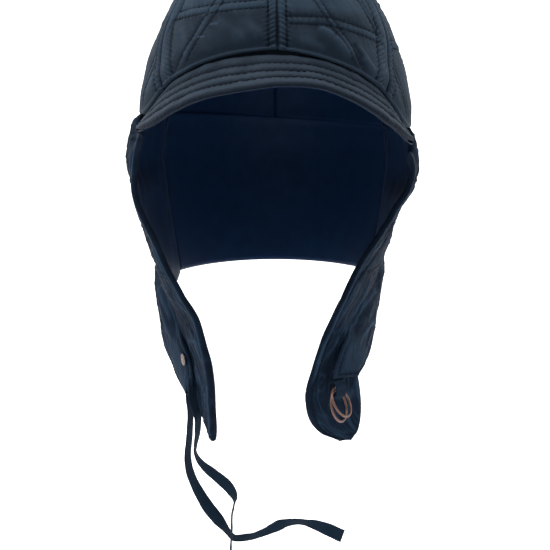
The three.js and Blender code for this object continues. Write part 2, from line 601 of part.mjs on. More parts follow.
// The route of a flat tape; its broad side keeps the angle that the rows give
class TapeRoute extends THREE.CatmullRomCurve3 {
  constructor(rows) {
    super(rows.map(({ x, y, z }) => new THREE.Vector3(x, y, z)), false, 'centripetal');
    this.rows = rows;
  }

  computeFrenetFrames(steps) {
    const frames = { tangents: [], normals: [], binormals: [] };
    for (let i = 0; i <= steps; i += 1) {
      const t = this.getUtoTmapping(i / steps);
      const tangent = this.getTangent(t);
      const face = radians(ofColumn(this.rows, 'face', t * (this.rows.length - 1)));
      const seen = tangent.clone().cross(new THREE.Vector3(0, 1, 0)).normalize();
      const away = seen.clone().cross(tangent).normalize();
      const broad = seen.multiplyScalar(Math.cos(face)).addScaledVector(away, Math.sin(face));
      frames.tangents.push(tangent);
      frames.normals.push(broad);
      frames.binormals.push(tangent.clone().cross(broad));
    }
    return frames;
  }
}

// The tape's section: a flat strip with its long edges rounded off
const [halfTape, halfThick] = [tape.width / 2, tape.thickness / 2];
const tapeCorners = [
  [halfTape, -0.4 * halfThick],
  [halfTape, 0.4 * halfThick],
  [0.92 * halfTape, halfThick],
  [-0.92 * halfTape, halfThick],
  [-halfTape, 0.4 * halfThick],
  [-halfTape, -0.4 * halfThick],
  [-0.92 * halfTape, -halfThick],
  [0.92 * halfTape, -halfThick],
];
const tapeSection = new THREE.Shape(tapeCorners.map(([x, y]) => new THREE.Vector2(x, y)));
for (const [name, rows] of Object.entries(tapeRoutes)) {
  const options = { steps: tape.steps, extrudePath: new TapeRoute(rows) };
  add(name, new THREE.ExtrudeGeometry(tapeSection, options), tapeCloth);
}

export default hat;
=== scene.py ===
import math

import bpy
import numpy as np
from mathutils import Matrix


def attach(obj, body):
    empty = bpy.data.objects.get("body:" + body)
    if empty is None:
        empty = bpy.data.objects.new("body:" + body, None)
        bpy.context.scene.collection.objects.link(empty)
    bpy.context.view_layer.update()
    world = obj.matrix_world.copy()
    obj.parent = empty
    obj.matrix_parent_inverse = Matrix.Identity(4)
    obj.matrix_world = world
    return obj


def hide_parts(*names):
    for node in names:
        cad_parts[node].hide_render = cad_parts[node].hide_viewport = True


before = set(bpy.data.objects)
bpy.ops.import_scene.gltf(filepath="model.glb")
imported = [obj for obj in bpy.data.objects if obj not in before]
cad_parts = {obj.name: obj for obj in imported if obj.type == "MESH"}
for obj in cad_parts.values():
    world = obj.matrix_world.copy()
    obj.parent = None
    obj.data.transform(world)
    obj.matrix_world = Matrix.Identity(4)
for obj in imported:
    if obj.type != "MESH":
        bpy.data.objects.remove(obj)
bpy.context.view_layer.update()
mm = 0.001  # shapes are worked out in millimetres and put into meshes in metres


# Numbers and surfaces

def smooth(low, high, x):  # 0 below low, 1 above high, with level ends
    t = np.clip((x - low) / (high - low), 0, 1)
    return t * t * (3 - 2 * t)


def bell(x, width):  # 1 at 0, falling off as a Gaussian
    return np.exp(-(x / width) ** 2)


def mix(a, b, t):
    return a + (b - a) * t


def table(names, rows):  # rows of numbers as one array for each named column
    return dict(zip(names.split(), np.array(rows, float).T))


def along(values, t):  # a uniform Catmull-Rom curve through the values, at place t counted in rows
    last = len(values) - 1
    t = np.clip(t, 0, last)
    i = np.minimum(np.floor(t).astype(int), last - 1)
    s = t - i
    a, b, c, d = (values[np.clip(i + k, 0, last)] for k in (-1, 0, 1, 2))
    return b + 0.5 * s * (c - a + s * (2 * a - 5 * b + 4 * c - d + s * (3 * (b - c) + d - a)))


def placeOf(values, x):  # the place, counted in rows, where a sorted column has the value x
    order = values if values[1] > values[0] else -values
    return np.interp(x if values[1] > values[0] else -x, order, np.arange(len(values)))


def unit(v):
    return v / np.maximum(np.linalg.norm(v, axis=-1, keepdims=True), 1e-12)


def normals(points, outward):  # normals of a grid of points, turned to the side of the outward direction
    n = unit(np.cross(np.gradient(points, axis=1), np.gradient(points, axis=0)))
    return n * np.sign(np.sum(n * np.asarray(outward, float), axis=-1).mean())


def sampled(grid, places):  # values of a grid at places given in rows and columns, in between by mixing
    i = np.clip(np.floor(places[:, 0]).astype(int), 0, grid.shape[0] - 2)
    j = np.clip(np.floor(places[:, 1]).astype(int), 0, grid.shape[1] - 2)
    a, b = places[:, 0] - i, places[:, 1] - j
    if grid.ndim == 3:
        a, b = a[:, None], b[:, None]
    return mix(mix(grid[i, j], grid[i, j + 1], b), mix(grid[i + 1, j], grid[i + 1, j + 1], b), a)


def shares(count, crowding):  # places from 0 to 1, an odd number of them, closer together at both ends
    t = np.linspace(0, 1, count)
    return t - crowding * np.sin(2 * np.pi * t)


def quarterRound(way, least=0.0009):  # how full a rounded edge is: a quarter circle from its rim to way 1
    return np.sqrt(np.maximum(1 - (1 - np.clip(way, 0, 1)) ** 2, least))


def gridWays(points):  # the ways along a grid's rows and down its columns, in millimetres of surface
    across = np.cumsum(np.linalg.norm(np.diff(points, axis=1, prepend=points[:, :1]), axis=2), axis=1)
    down = np.cumsum(np.linalg.norm(np.diff(points, axis=0, prepend=points[:1]), axis=2), axis=0)
    return across, down


def edgeDistance(across, down):  # the way to the nearest of a grid's four edges
    return np.minimum(np.minimum(across, across[:, -1:] - across), np.minimum(down, down[-1:] - down))


def stepNormals(surface, side, s, t, towards):  # normals of a surface from small steps, turned one way
    step = 0.004
    run = surface(side, np.minimum(s + step, 1), t) - surface(side, np.maximum(s - step, 0), t)
    down = surface(side, s, np.minimum(t + step, 1)) - surface(side, s, np.maximum(t - step, 0))
    n = unit(np.cross(run, down))
    return n * np.where(n @ np.array(towards) < 0, -1, 1)[..., None]


def wallFaces(base, normal, wall, fullness, lift):
    # The outer and inner faces of a wall behind its base, thinned by its fullness; lift is the outer's relief
    middle, half = base - normal * (wall / 2)[..., None], wall / 2 * fullness
    return middle + normal * (half + lift)[..., None], middle - normal * half[..., None]


def softNoise(u, v, size, seed):  # smooth random heights, about -1 to 1, on a lattice of 97 by 97 squares
    values = np.random.default_rng(seed).uniform(-1, 1, (97, 97))
    x, y = u / size + 31.4, v / size + 27.2
    i, j = np.floor(x).astype(int), np.floor(y).astype(int)
    fx, fy = smooth(0, 1, x - i), smooth(0, 1, y - j)
    at = lambda a, b: values[(j + b) % 97, (i + a) % 97]
    return mix(mix(at(0, 0), at(1, 0), fx), mix(at(0, 1), at(1, 1), fx), fy)


def ridged(u, v, size, seed):  # thin ridges where a smooth noise passes zero, as in crumpled cloth
    return bell(softNoise(u, v, size, seed), 0.2)


def crease(u, v, start, end, width, height):  # a soft ridge along a line that fades out at both ends
    start, end = np.array(start, float), np.array(end, float)
    run = end - start
    share = ((u - start[0]) * run[0] + (v - start[1]) * run[1]) / (run @ run)
    off = ((u - start[0]) * run[1] - (v - start[1]) * run[0]) / math.hypot(*run)
    return height * bell(off, width) * smooth(-0.1, 0.2, share) * (1 - smooth(0.8, 1.1, share))


# Meshes

def placed(name, data):  # a new object in the scene, at the origin
    thing = bpy.data.objects.new(name, data)
    bpy.context.scene.collection.objects.link(thing)
    return thing


def meshObject(name, points, faces, materials, relief=None, cloth=None, parts=None):
    # points in mm and faces of equal or mixed length; relief and cloth are values kept at the points, where
    # relief is the shown tone with its painted light and shade
    mesh = bpy.data.meshes.new(name)
    mesh.from_pydata(np.asarray(points) * mm, [], faces)
    mesh.polygons.foreach_set("use_smooth", np.ones(len(mesh.polygons), bool))
    if relief is not None:
        layer = mesh.attributes.new("relief", "FLOAT", "POINT")
        layer.data.foreach_set("value", np.asarray(relief, np.float32).ravel())
    if cloth is not None:  # the piece's own map, in millimetres of cloth
        layer = mesh.uv_layers.new(name="cloth")
        corner = np.empty(len(mesh.loops), np.int32)
        mesh.loops.foreach_get("vertex_index", corner)
        layer.data.foreach_set("uv", np.asarray(cloth, np.float32)[corner].ravel())
    if parts is not None:
        mesh.polygons.foreach_set("material_index", np.asarray(parts, np.int32))
    for material in materials:
        mesh.materials.append(material)
    mesh.validate()
    return placed(name, mesh)


def volumeOf(points, faces):  # signed volume of a closed mesh, from the tetrahedra to the origin
    total = 0.0
    for size in (3, 4):
        group = np.array([f for f in faces if len(f) == size])
        for k in range(1, size - 1) if len(group) else ():
            a, b, c = points[group[:, 0]], points[group[:, k]], points[group[:, k + 1]]
            total += np.einsum("ij,ij->i", a, np.cross(b, c)).sum()
    return total


def gridFaces(rows, columns, first=0):  # quads between the points of a grid kept row by row
    at = first + np.arange(rows * columns).reshape(rows, columns)
    return np.stack([at[:-1, :-1], at[:-1, 1:], at[1:, 1:], at[1:, :-1]], axis=-1).reshape(-1, 4)


def border(rows, columns, first=0):  # the points round the edge of a grid, in order
    at = first + np.arange(rows * columns).reshape(rows, columns)
    return np.concatenate([at[0, :-1], at[:-1, -1], at[-1, :0:-1], at[:0:-1, 0]])


def shell(name, outer, inner, materials, relief, cloth, rim=3):
    # A closed wall: an outer grid, an inner grid with every second point, and rim rows between their edges
    rows, columns = outer.shape[:2]
    low = inner[::2, ::2]
    edge = border(rows, columns)
    lowFirst = rows * columns
    first = lowFirst + low.shape[0] * low.shape[1]
    points = [outer.reshape(-1, 3), low.reshape(-1, 3)]
    outerEdge, innerEdge = (grid.reshape(-1, 3)[edge] for grid in (outer, inner))
    loops = [edge]
    for k in range(1, rim):
        points.append(mix(outerEdge, innerEdge, k / rim))
        loops.append(first + np.arange(len(edge)))
        first += len(edge)
    groups = [gridFaces(rows, columns)[:, ::-1], gridFaces(*low.shape[:2], lowFirst)]
    parts = [0] * len(groups[0]) + [1] * len(groups[1])
    for a, b in zip(loops, loops[1:]):
        groups.append(np.stack([a, np.roll(a, -1), np.roll(b, -1), b], axis=-1))
    # Two steps of the last rim row meet one step of the coarser inner grid
    a, b = loops[-1], border(*low.shape[:2], lowFirst)
    middle, after, beyond = a[1::2], np.roll(a[0::2], -1), np.roll(b, -1)
    for fan in ((a[0::2], middle, b), (middle, beyond, b), (middle, after, beyond)):
        groups.append(np.stack(fan, axis=-1))
    points = np.concatenate(points)
    faces = [face for group in groups for face in group.tolist()]
    parts += [0] * (len(faces) - len(parts))
    if volumeOf(points, faces) < 0:
        faces = [face[::-1] for face in faces]

    def kept(grid):  # a grid's values at the outer points, the inner points and the rim's
        flat = grid.reshape(rows * columns, -1)
        few = grid[::2, ::2].reshape(low.shape[0] * low.shape[1], -1)
        return np.concatenate([flat, few] + [flat[edge]] * (rim - 1))

    relief = None if relief is None else kept(relief)
    return meshObject(name, points, faces, materials, relief, kept(cloth), parts)


def tube(name, rings, materials, cloth=None, closed=False):
    # A closed skin over rings of points, kept as steps by corners; a closed one joins its last ring to its
    # first, and an open one ends in two fans
    steps, corners = rings.shape[:2]
    at = np.arange(steps * corners).reshape(steps, corners)
    here, there = (at, np.roll(at, -1, axis=0)) if closed else (at[:-1], at[1:])
    quads = np.stack([here, np.roll(here, -1, 1), np.roll(there, -1, 1), there], axis=-1)
    faces = quads.reshape(-1, 4).tolist()
    if not closed:
        for centre, ring in ((steps * corners, at[0][::-1]), (steps * corners + 1, at[-1])):
            faces += np.stack([np.full(corners, centre), ring, np.roll(ring, -1)], axis=-1).tolist()

    def kept(grid):  # the values at the rings' points, and at the ends' centres
        ends = [] if closed else [grid[0].mean(0)[None], grid[-1].mean(0)[None]]
        return np.concatenate([grid.reshape(-1, grid.shape[-1])] + ends)

    points = kept(rings)
    if volumeOf(points, faces) < 0:
        faces = [face[::-1] for face in faces]
    return meshObject(name, points, faces, materials, cloth=None if cloth is None else kept(cloth))


def dressed(piece, slot, *nodes):  # the piece rides on the hat, and stands for the CAD nodes that are named
    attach(piece, "root")
    if nodes:
        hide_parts(*nodes)
    return piece


def padded(name, faces, materials, shown, cloth, slot="skirt_cloth", rim=3):
    # A padded piece, named for the CAD node that it stands for; shown is its tone, with painted light and
    # shade
    piece = dressed(shell(name + "_quilt", *faces, materials, shown, cloth, rim), slot, name)


# Materials

def fromHex(colour):  # an sRGB hex value as linear red, green, blue and alpha
    value = np.array([int(colour[i:i + 2], 16) / 255 for i in (1, 3, 5)])
    linear = np.where(value <= 0.04045, value / 12.92, ((value + 0.055) / 1.055) ** 2.4)
    return (*linear.tolist(), 1.0)


def addNode(tree, kind, settings=None, links=None):
    # A node with its settings, which are sockets or the node's own values, and the outputs that feed it
    node = tree.nodes.new("ShaderNode" + kind)
    for key, value in (settings or {}).items():
        if isinstance(key, int) or key in node.inputs:
            node.inputs[key].default_value = value
        else:
            setattr(node, key, value)
    for key, output in (links or {}).items():
        tree.links.new(output, node.inputs[key])
    return node


def newMaterial(name, settings):
    material = bpy.data.materials.new(name)
    material.use_nodes = True
    shader = material.node_tree.nodes["Principled BSDF"]
    for key, value in settings.items():
        shader.inputs[key].default_value = value
    return material, material.node_tree, shader


def perMetre(size):  # a texture's scale from the size of one of its repeats in millimetres
    return 1 / (size * mm)


def patchedTones(tree, shader, tones, noise):  # two tones mixed in soft patches, whose strength it returns
    place = addNode(tree, "TexCoord").outputs["Object"]
    patches = addNode(tree, "TexNoise", noise, {"Vector": place}).outputs["Fac"]
    low, high = (fromHex(tone) for tone in tones)
    tone = addNode(tree, "Mix", {"data_type": "RGBA", 6: low, 7: high}, {0: patches})
    tree.links.new(tone.outputs[2], shader.inputs["Base Color"])
    return patches


# wornAndLit is the paler rubbed cloth and also the painted highlight on raised relief; paintedShade is the
# near-black painted shade in furrows, seams and recesses
waxedCotton = {
    "base": "#111b25", "wornAndLit": "#25323f", "paintedShade": "#070f1a", "tint": "#141d27",
    "roughness": 0.66, "patch": 26, "mottle": 5, "thread": 0.9, "crumple": 2.6,
}


def makeWaxedCotton(name, look):
    # Dry-waxed cotton, tightly woven and rubbed: a matt navy, mottled, with faint warmer patches. It pales on
    # ridges with a painted highlight and goes nearly black in the stitched furrows with painted shade, both
    # read from the relief attribute. The real thread of 0.3 mm is drawn 0.9 mm wide to show.
    material, tree, shader = newMaterial(name, {
        "Roughness": look["roughness"], "Specular IOR Level": 0.04, "Sheen Weight": 0.03,
        "Sheen Roughness": 0.45, "Sheen Tint": fromHex("#8fa6bd"),
    })
    place = addNode(tree, "TexCoord").outputs["Object"]
    # The relief attribute holds each piece's shown tone: its relief with painted light and shade added
    relief = addNode(tree, "Attribute", {"attribute_name": "relief"}).outputs["Fac"]
    noises = {"patch": (3.0, 0.6, 0), "mottle": (6.0, 0.7, 0), "crumple": (5.0, 0.6, 0.6)}
    patches, mottle, crumple = (addNode(tree, "TexNoise", {
        "Scale": perMetre(look[size]), "Detail": detail, "Roughness": rough, "Distortion": twist,
    }, {"Vector": place}).outputs["Fac"] for size, (detail, rough, twist) in noises.items())
    # The mottle with the relief attribute's painted light and shade added
    mottleAndLight = addNode(tree, "Math", {"operation": "MULTIPLY_ADD", 1: 0.5}, {0: mottle, 2: relief})
    mottleAndLight = mottleAndLight.outputs["Value"]
    # Each tone is mixed over the one before by a share of the patches, or of the mottle and the relief
    # attribute, whose painted light and shade give the worn-and-lit tone where it is high and the painted
    # shade where it is low
    before = {}
    layers = (("tint", patches, 0.52, 0.72, 0.35), ("wornAndLit", mottleAndLight, 0.25, 1.25, 0.9),
              ("paintedShade", mottleAndLight, 0.2, -0.75, 0.9))
    for key, source, low, high, most in layers:
        limits = {"From Min": low, "From Max": high, "To Max": most}
        share = addNode(tree, "MapRange", limits, {"Value": source})
        tones = {"data_type": "RGBA", 6: fromHex(look["base"]), 7: fromHex(look[key])}
        tone = addNode(tree, "Mix", tones, {0: share.outputs["Result"], **before})
        before = {6: tone.outputs[2]}
    tree.links.new(tone.outputs[2], shader.inputs["Base Color"])
    clothMap = addNode(tree, "UVMap", {"uv_map": "cloth"}).outputs["UV"]
    waves = [addNode(tree, "TexWave", {
        "bands_direction": way, "Scale": 1 / (look["thread"] * math.pi), "Distortion": 0.8, "Detail": 1.0,
        "Detail Scale": 0.3,
    }, {"Vector": clothMap}).outputs["Fac"] for way in ("X", "Y")]
    weave = addNode(tree, "Math", {"operation": "ADD"}, {0: waves[0], 1: waves[1]})
    weaveBump = addNode(tree, "Bump", {"Strength": 0.35, "Distance": 0.05 * mm},
                        {"Height": weave.outputs["Value"]})
    crumpleBump = addNode(tree, "Bump", {"Strength": 0.5, "Distance": 0.7 * mm},
                          {"Height": crumple, "Normal": weaveBump.outputs["Normal"]})
    tree.links.new(crumpleBump.outputs["Normal"], shader.inputs["Normal"])
    gloss = addNode(tree, "MapRange", {
        "From Min": 0.3, "From Max": 0.7,
        "To Min": look["roughness"] - 0.08, "To Max": look["roughness"] + 0.1,
    }, {"Value": mottle})
    tree.links.new(gloss.outputs["Result"], shader.inputs["Roughness"])
    return material


spunCloths = {
    # Polyester taffeta lining, plain woven: very dark navy with a low soft gloss and fine ribs
    "lining_taffeta": {
        "tones": ("#06152b", "#0b213c"), "fade": {"Scale": perMetre(9), "Detail": 4.0},
        "shader": {"Roughness": 0.5, "Specular IOR Level": 0.04, "Sheen Weight": 0.02,
                   "Sheen Roughness": 0.4},
        "ribs": {"bands_direction": "Y", "Scale": 1 / (0.8 * math.pi), "Distortion": 0.5},
        "bump": {"Strength": 0.25, "Distance": 0.05 * mm},
    },
    # Cotton tape in a herringbone weave, dyed navy: matt and soft, with 1 mm slanting ribs across its width
    "tape_cotton": {
        "tones": ("#0c1825", "#192837"), "fade": {"Scale": perMetre(7), "Detail": 5.0, "Roughness": 0.65},
        "shader": {"Roughness": 0.85, "Specular IOR Level": 0.03, "Sheen Weight": 0.02,
                   "Sheen Roughness": 0.6},
        "ribs": {"bands_direction": "DIAGONAL", "Scale": 1 / math.pi, "Distortion": 0.4},
        "bump": {"Strength": 0.5, "Distance": 0.12 * mm},
    },
    # Spun polyester sewing thread, navy, a little glossier and darker than the waxed cloth
    "sewing_thread": {
        "shader": {"Roughness": 0.7, "Specular IOR Level": 0.06},
        "tones": ("#02050b", "#07101b"), "fade": {"Scale": perMetre(1.2), "Detail": 2.0},
    },
}


def makeSpunCloth(name):  # two faded tones, and woven ribs that run along the cloth's own map
    look = spunCloths[name]
    material, tree, shader = newMaterial(name, look["shader"])
    patchedTones(tree, shader, look["tones"], look["fade"])
    if "ribs" in look:
        clothMap = addNode(tree, "UVMap", {"uv_map": "cloth"}).outputs["UV"]
        ribs = addNode(tree, "TexWave", look["ribs"], {"Vector": clothMap})
        bump = addNode(tree, "Bump", look["bump"], {"Height": ribs.outputs["Fac"]})
        tree.links.new(bump.outputs["Normal"], shader.inputs["Normal"])
    return material


def makeWornMetal(name, dull, bright, roughness=0.42):
    # Drawn or stamped metal with a worn plating: bright where it is rubbed, duller and rougher elsewhere
    material, tree, shader = newMaterial(name, {"Metallic": 1.0, "Roughness": roughness})
    scratches = {"Scale": perMetre(2.4), "Detail": 6.0, "Roughness": 0.65}
    wear = patchedTones(tree, shader, (dull, bright), scratches)
    gloss = addNode(tree, "MapRange", {
        "From Min": 0.35, "From Max": 0.65, "To Min": roughness + 0.15, "To Max": roughness - 0.08,
    }, {"Value": wear})
    tree.links.new(gloss.outputs["Result"], shader.inputs["Roughness"])
    bump = addNode(tree, "Bump", {"Strength": 0.3, "Distance": 0.03 * mm}, {"Height": wear})
    tree.links.new(bump.outputs["Normal"], shader.inputs["Normal"])
    return material


crownCloth = makeWaxedCotton("waxed_cotton_crown", waxedCotton)
# A bluer, slightly darker copy of the same waxed cotton for the flaps, curtain, straps and tab: painted
# shade, as the same cloth lies in shade there
flapCloth = makeWaxedCotton("waxed_cotton_flaps", {
    **waxedCotton, "base": "#0e1a29", "wornAndLit": "#223446", "tint": "#0e1824",
})
# A slightly paler, greyer copy of the same waxed cotton for the peak: painted light, for how the peak is lit
peakCloth = makeWaxedCotton("waxed_cotton_peak", {**waxedCotton, "base": "#131b24", "wornAndLit": "#2a343f"})
liningCloth, tapeCloth, thread = (makeSpunCloth(name) for name in spunCloths)
copper = makeWornMetal("antique_copper_wire", "#4b3934", "#7e625a")
nickel = makeWornMetal("worn_nickel_plate", "#443d3b", "#736964")
print("materials done")


# Camera

cameraSetup = {"place": (-0.001, -0.63, 0.01), "downwards": 10, "lens": 66.2, "sensor": 36}


def makeCamera():
    data = bpy.data.cameras.new("camera")
    data.lens, data.sensor_width = cameraSetup["lens"], cameraSetup["sensor"]
    camera = placed("camera", data)
    camera.location = cameraSetup["place"]
    camera.rotation_euler = (math.radians(90 - cameraSetup["downwards"]), 0, 0)
    bpy.context.scene.camera = camera


makeCamera()


# Tie tapes, the hat's two free cords: flat tapes that hang from under the right strap tongue

tape = {"width": 7.6, "thickness": 1.0, "steps": 420, "corners": 24, "cup": 0.25}
tapeRoutes = {
    "tie_tape_long": table("x y z face", [
        (-53.1, -33.5, -158, 58), (-53.4, -35, -169.8, 61), (-52.8, -36, -177.2, 66),
        (-52.7, -38, -184.2, 66), (-53.3, -40, -194.3, 64), (-54.1, -42, -201.9, 63), (-54, -44, -207.6, 63),
        (-52.9, -46, -213.8, 62), (-49.7, -48.5, -221, 57), (-45.2, -51, -228.5, 45),
        (-40.9, -53, -234.7, 34), (-36.3, -55, -239.7, 36), (-32.1, -57, -244.3, 65),
        (-28.9, -59, -247.7, 82), (-25.6, -61, -249.9, 86), (-20.7, -62.5, -249.5, 82),
        (-14.7, -63.5, -248.1, 84), (-8.7, -64.5, -245.5, 79), (-3.4, -65, -242.8, 69),
        (1.4, -65.5, -240.3, 60), (6.1, -66, -238.5, 79), (10.8, -66.5, -237.6, 88),
        (15.5, -67, -237.6, 88), (19.1, -67.5, -238.1, 79), (24.4, -68.5, -239.2, 60),
        (30.2, -69.5, -241.1, 38), (35.2, -70.5, -243.1, 30), (38.8, -71, -244.5, 29),
    ]),
    "tie_tape_short": table("x y z face", [
        (-50.6, -38.5, -158, 50), (-50.6, -42.5, -169.2, 52), (-48.8, -44, -174.7, 56),
        (-47.6, -45, -180, 62), (-47.4, -46, -184.1, 64), (-47.8, -47, -190, 68), (-48.9, -49, -196.3, 78),
        (-48.9, -51, -199.9, 87), (-46.7, -53, -204, 82), (-43.2, -55, -207.5, 74),
        (-37.9, -58, -210.8, 62), (-33, -60.5, -213.8, 55), (-29, -63, -216.7, 52),
        (-26.2, -65.5, -220, 61), (-24.7, -67.5, -223.5, 80), (-25.2, -68.5, -227.2, 89),
        (-26.2, -69.5, -232, 89), (-26.5, -70, -241.2, 89), (-27.1, -70, -253.1, 89),
        (-27.5, -69.5, -267.9, 87), (-27, -69, -283.5, 82), (-25.6, -68.5, -300.5, 75),
        (-24.2, -68, -316.5, 69),
    ]),
}


def makeTape(name, rows):
    # The route is a Catmull-Rom curve through the rows. Across it lies a flat strip whose long edges are
    # half round and whose middle is cupped by a parabola; face turns the strip away from the front.
    t = np.linspace(0, len(rows["x"]) - 1, tape["steps"])
    path = np.stack([along(rows[axis], t) for axis in "xyz"], axis=-1)
    face = np.radians(along(rows["face"], t))[:, None]
    tangent = unit(np.gradient(path, axis=0))
    seen = unit(np.cross(tangent, [0, 1, 0]))
    away = unit(np.cross(seen, tangent))
    broad = seen * np.cos(face) + away * np.sin(face)
    thin = np.cross(tangent, broad)
    run = np.concatenate([[0], np.cumsum(np.linalg.norm(np.diff(path, axis=0), axis=1))])
    around = np.linspace(0, 2 * np.pi, tape["corners"], endpoint=False)
    wide = np.sign(np.cos(around)) * np.abs(np.cos(around)) ** 0.35 * tape["width"] / 2
    thick = np.sign(np.sin(around)) * np.abs(np.sin(around)) ** 0.8 * tape["thickness"] / 2
    cup = tape["cup"] * ((2 * wide / tape["width"]) ** 2 - 0.4)
    ripple = 0.12 * softNoise(run[:, None] + wide * 0.6, wide[None, :], 4.2, 11)
    edgeWave = 1 + 0.03 * softNoise(run[:, None], np.sign(wide)[None, :] * 3, 3.1, 12)
    rings = (path[:, None] + broad[:, None] * (wide * edgeWave)[..., None]
             + thin[:, None] * (thick + cup + ripple)[..., None])
    cloth = np.stack(np.broadcast_arrays(wide, run[:, None]), axis=-1)
    piece = dressed(tube(name + "_woven", rings, [tapeCloth], cloth), "tape", name)


for tapeName, tapeRows in tapeRoutes.items():
    makeTape(tapeName, tapeRows)
print("tapes done")


# Crown

crown = {
    "halfWidth": 82.7, "halfDepth": 102, "height": 108, "wall": 4, "shift": -0.8, "topRadius": 0.35,
    "bend": 1.6, "taper": 0.5, "seamFront": 1, "back": 118, "closing": 1.25, "meanRadius": 92,
}
sideSeamRows = {
    "right": table("share angle", [
        (0, -50.5), (0.12, -53.4), (0.24, -58.2), (0.34, -62), (0.6, -63), (1, -62),
    ]),
    "left": table("share angle", [
        (0, 48.5), (0.12, 51.4), (0.22, 54.8), (0.33, 60), (0.44, 62.5), (0.7, 63), (1, 62),
    ]),
}
gap = 0.3  # between neighbouring solids
seamLap = 0.15  # how far the cloth of a seam's two sides reaches past its middle
tilt = 0.05  # the edges drop this much for each millimetre towards +X
edgeRows = table("angle lip reach peakEdge", [
    (0, 34.6, 15, 14.5), (12, 32.5, 14.7, 12.9), (23, 29.5, 13.8, 8.3), (35, 24.5, 12.3, 0.3),
    (45, 17.2, 10.4, -6.6), (53, 9, 8.6, -10.4), (60, 1.8, 6.6, -12), (68, -3.3, 3.4, -12.6),
    (80, -4.5, 1, -12.6), (100, -4.8, 0.6, -12.6), (180, -5, 0.6, -12.6),
])
frontMoves = table("angle lip edge recess", [  # the front's edges as they lie, unlike on its two sides
    (-80, 0, 0, 1.3), (-60, -0.3, 0, 0.6), (-45, -0.6, -1.1, -0.2), (-38, -1.7, -1, -0.2),
    (-30, -1.5, -1.3, 0), (-22, -1.1, -1.7, 0.5), (-15, -0.9, -2.1, 1), (-8, -0.8, -1.5, 1.3),
    (0, -0.6, 0.3, 2.1), (8, 0, 1.7, 1.5), (15, 0.1, 2.4, 0.2), (22, 0.1, 1.9, -0.1), (30, 0, 1.8, -0.2),
    (38, 0.2, 1.5, -0.2), (45, 0.8, 1.9, -0.2), (60, 0.4, 1, 0.6), (80, 0, 0, 1.3),
])
# The wearer's right is side -1 and the left is side 1. Places on the crown are given as the ways across from
# the front seam and up, in millimetres of surface.
quilt = {
    "pitch": 27, "slant": 58, "puff": 0.8, "furrow": 0.38, "pucker": 0.24, "strip": 0.12, "dent": 0.4,
    "wrinkle": 0.2, "fine": 0.12, "levels": {-1: 63.2, 1: 52.2}, "slants": {-1: 62.3, 1: 53},
    "levelGap": 5, "slantGap": {-1: 4.8, 1: 3.2},
    "levelRise": {-1: (-0.08, 0, 120), 1: (-0.24, 28, 75)},  # per millimetre across, between two places
}
crownSeam = {"round": 1.4, "topStitch": 5, "sideStitch": 8.6, "band": 0.4, "tug": 0.42, "tugEvery": 2.9}
crownLip = {"round": 1.9, "roll": 1.1, "rollAt": 11, "drawnIn": 0.8, "bead": 0.6}
# Painted light on the crown: the top painted lighter, a painted sheen on the sides, the wearer's left half
# painted lighter, and the height of the painted highlights along wrinkles
crownPaintedLight = {"top": 0.82, "sides": 0.4, "halves": {-1: 0, 1: 0.26}, "wrinkleHighlight": 1.6}
crownFolds = {  # soft ridges and hollows pressed into the padding: both ends, width, height
    -1: [((-16, 40), (-34, 54), 3, 0.5), ((-20, 52), (-8, 44), 2.6, 0.4), ((-58, 50), (-52, 38), 2.4, 0.4)],
    1: [((21.8, 47.8), (30.3, 43.6), 2.2, 1.6), ((30.3, 43.6), (41.2, 30.3), 2.2, 1.6),
        ((43.4, 38.4), (57.7, 21.3), 2, 1.5), ((42.3, 39), (49, 30.1), 1.6, -1.4),
        ((12, 40), (26, 34), 3, 0.6), ((20, 41), (30, 33), 3, -0.5)],
}
crownWrinkleHighlights = {-1: [((-43.5, 56), (-35.5, 61)), ((-38, 50.4), (-32.3, 50.2)), ((-45.5, 43), (-40, 42.6))],
               1: []}  # painted highlights along wrinkles, each given by its two ends


def crownWidth(z, height):  # its share of the full width: (1 - (z / height) ^ bend) ^ taper above the origin
    return np.where(z <= 0, 1.0, (1 - np.clip(z / height, 0, 1) ** crown["bend"]) ** crown["taper"])


def levelNormal(angle):  # the outward normal of the crown's level ellipse, at an angle from the front
    a = np.radians(angle)
    return unit(np.stack([np.sin(a) / crown["halfWidth"], -np.cos(a) / crown["halfDepth"], 0 * a], axis=-1))


def crownPoint(angle, z, inset=0.0, offset=0.0):
    # A point on the ellipse of the crown's width at a height, moved outwards by an offset
    a = np.radians(angle)
    width = np.maximum(crownWidth(z, crown["height"] - inset), crown["topRadius"] / crown["halfWidth"])
    x = crown["shift"] + (crown["halfWidth"] - inset) * width * np.sin(a)
    y = -(crown["halfDepth"] - inset) * width * np.cos(a)
    return np.stack([x, y, z + 0 * a], axis=-1) + np.asarray(offset)[..., None] * levelNormal(angle)


def edgeValue(angle, column):  # a column of the edge table at an angle, dropped by the tilt
    value = along(edgeRows[column], placeOf(edgeRows["angle"], np.abs(angle)))
    if column == "reach":
        return value
    moved = np.interp(angle, frontMoves["angle"], frontMoves["lip" if column == "lip" else "edge"])
    return value + moved - tilt * crown["halfWidth"] * np.sin(np.radians(angle))


climbHeights = np.linspace(-20, crown["height"], 1200)
climbOut = crown["meanRadius"] * np.diff(crownWidth(climbHeights, crown["height"]))
climbLengths = climbHeights[0] + np.concatenate([[0], np.cumsum(np.hypot(np.diff(climbHeights), climbOut))])


def climbOf(z):  # the way up the crown's surface from the origin's level to a height
    return np.interp(z, climbHeights, climbLengths)


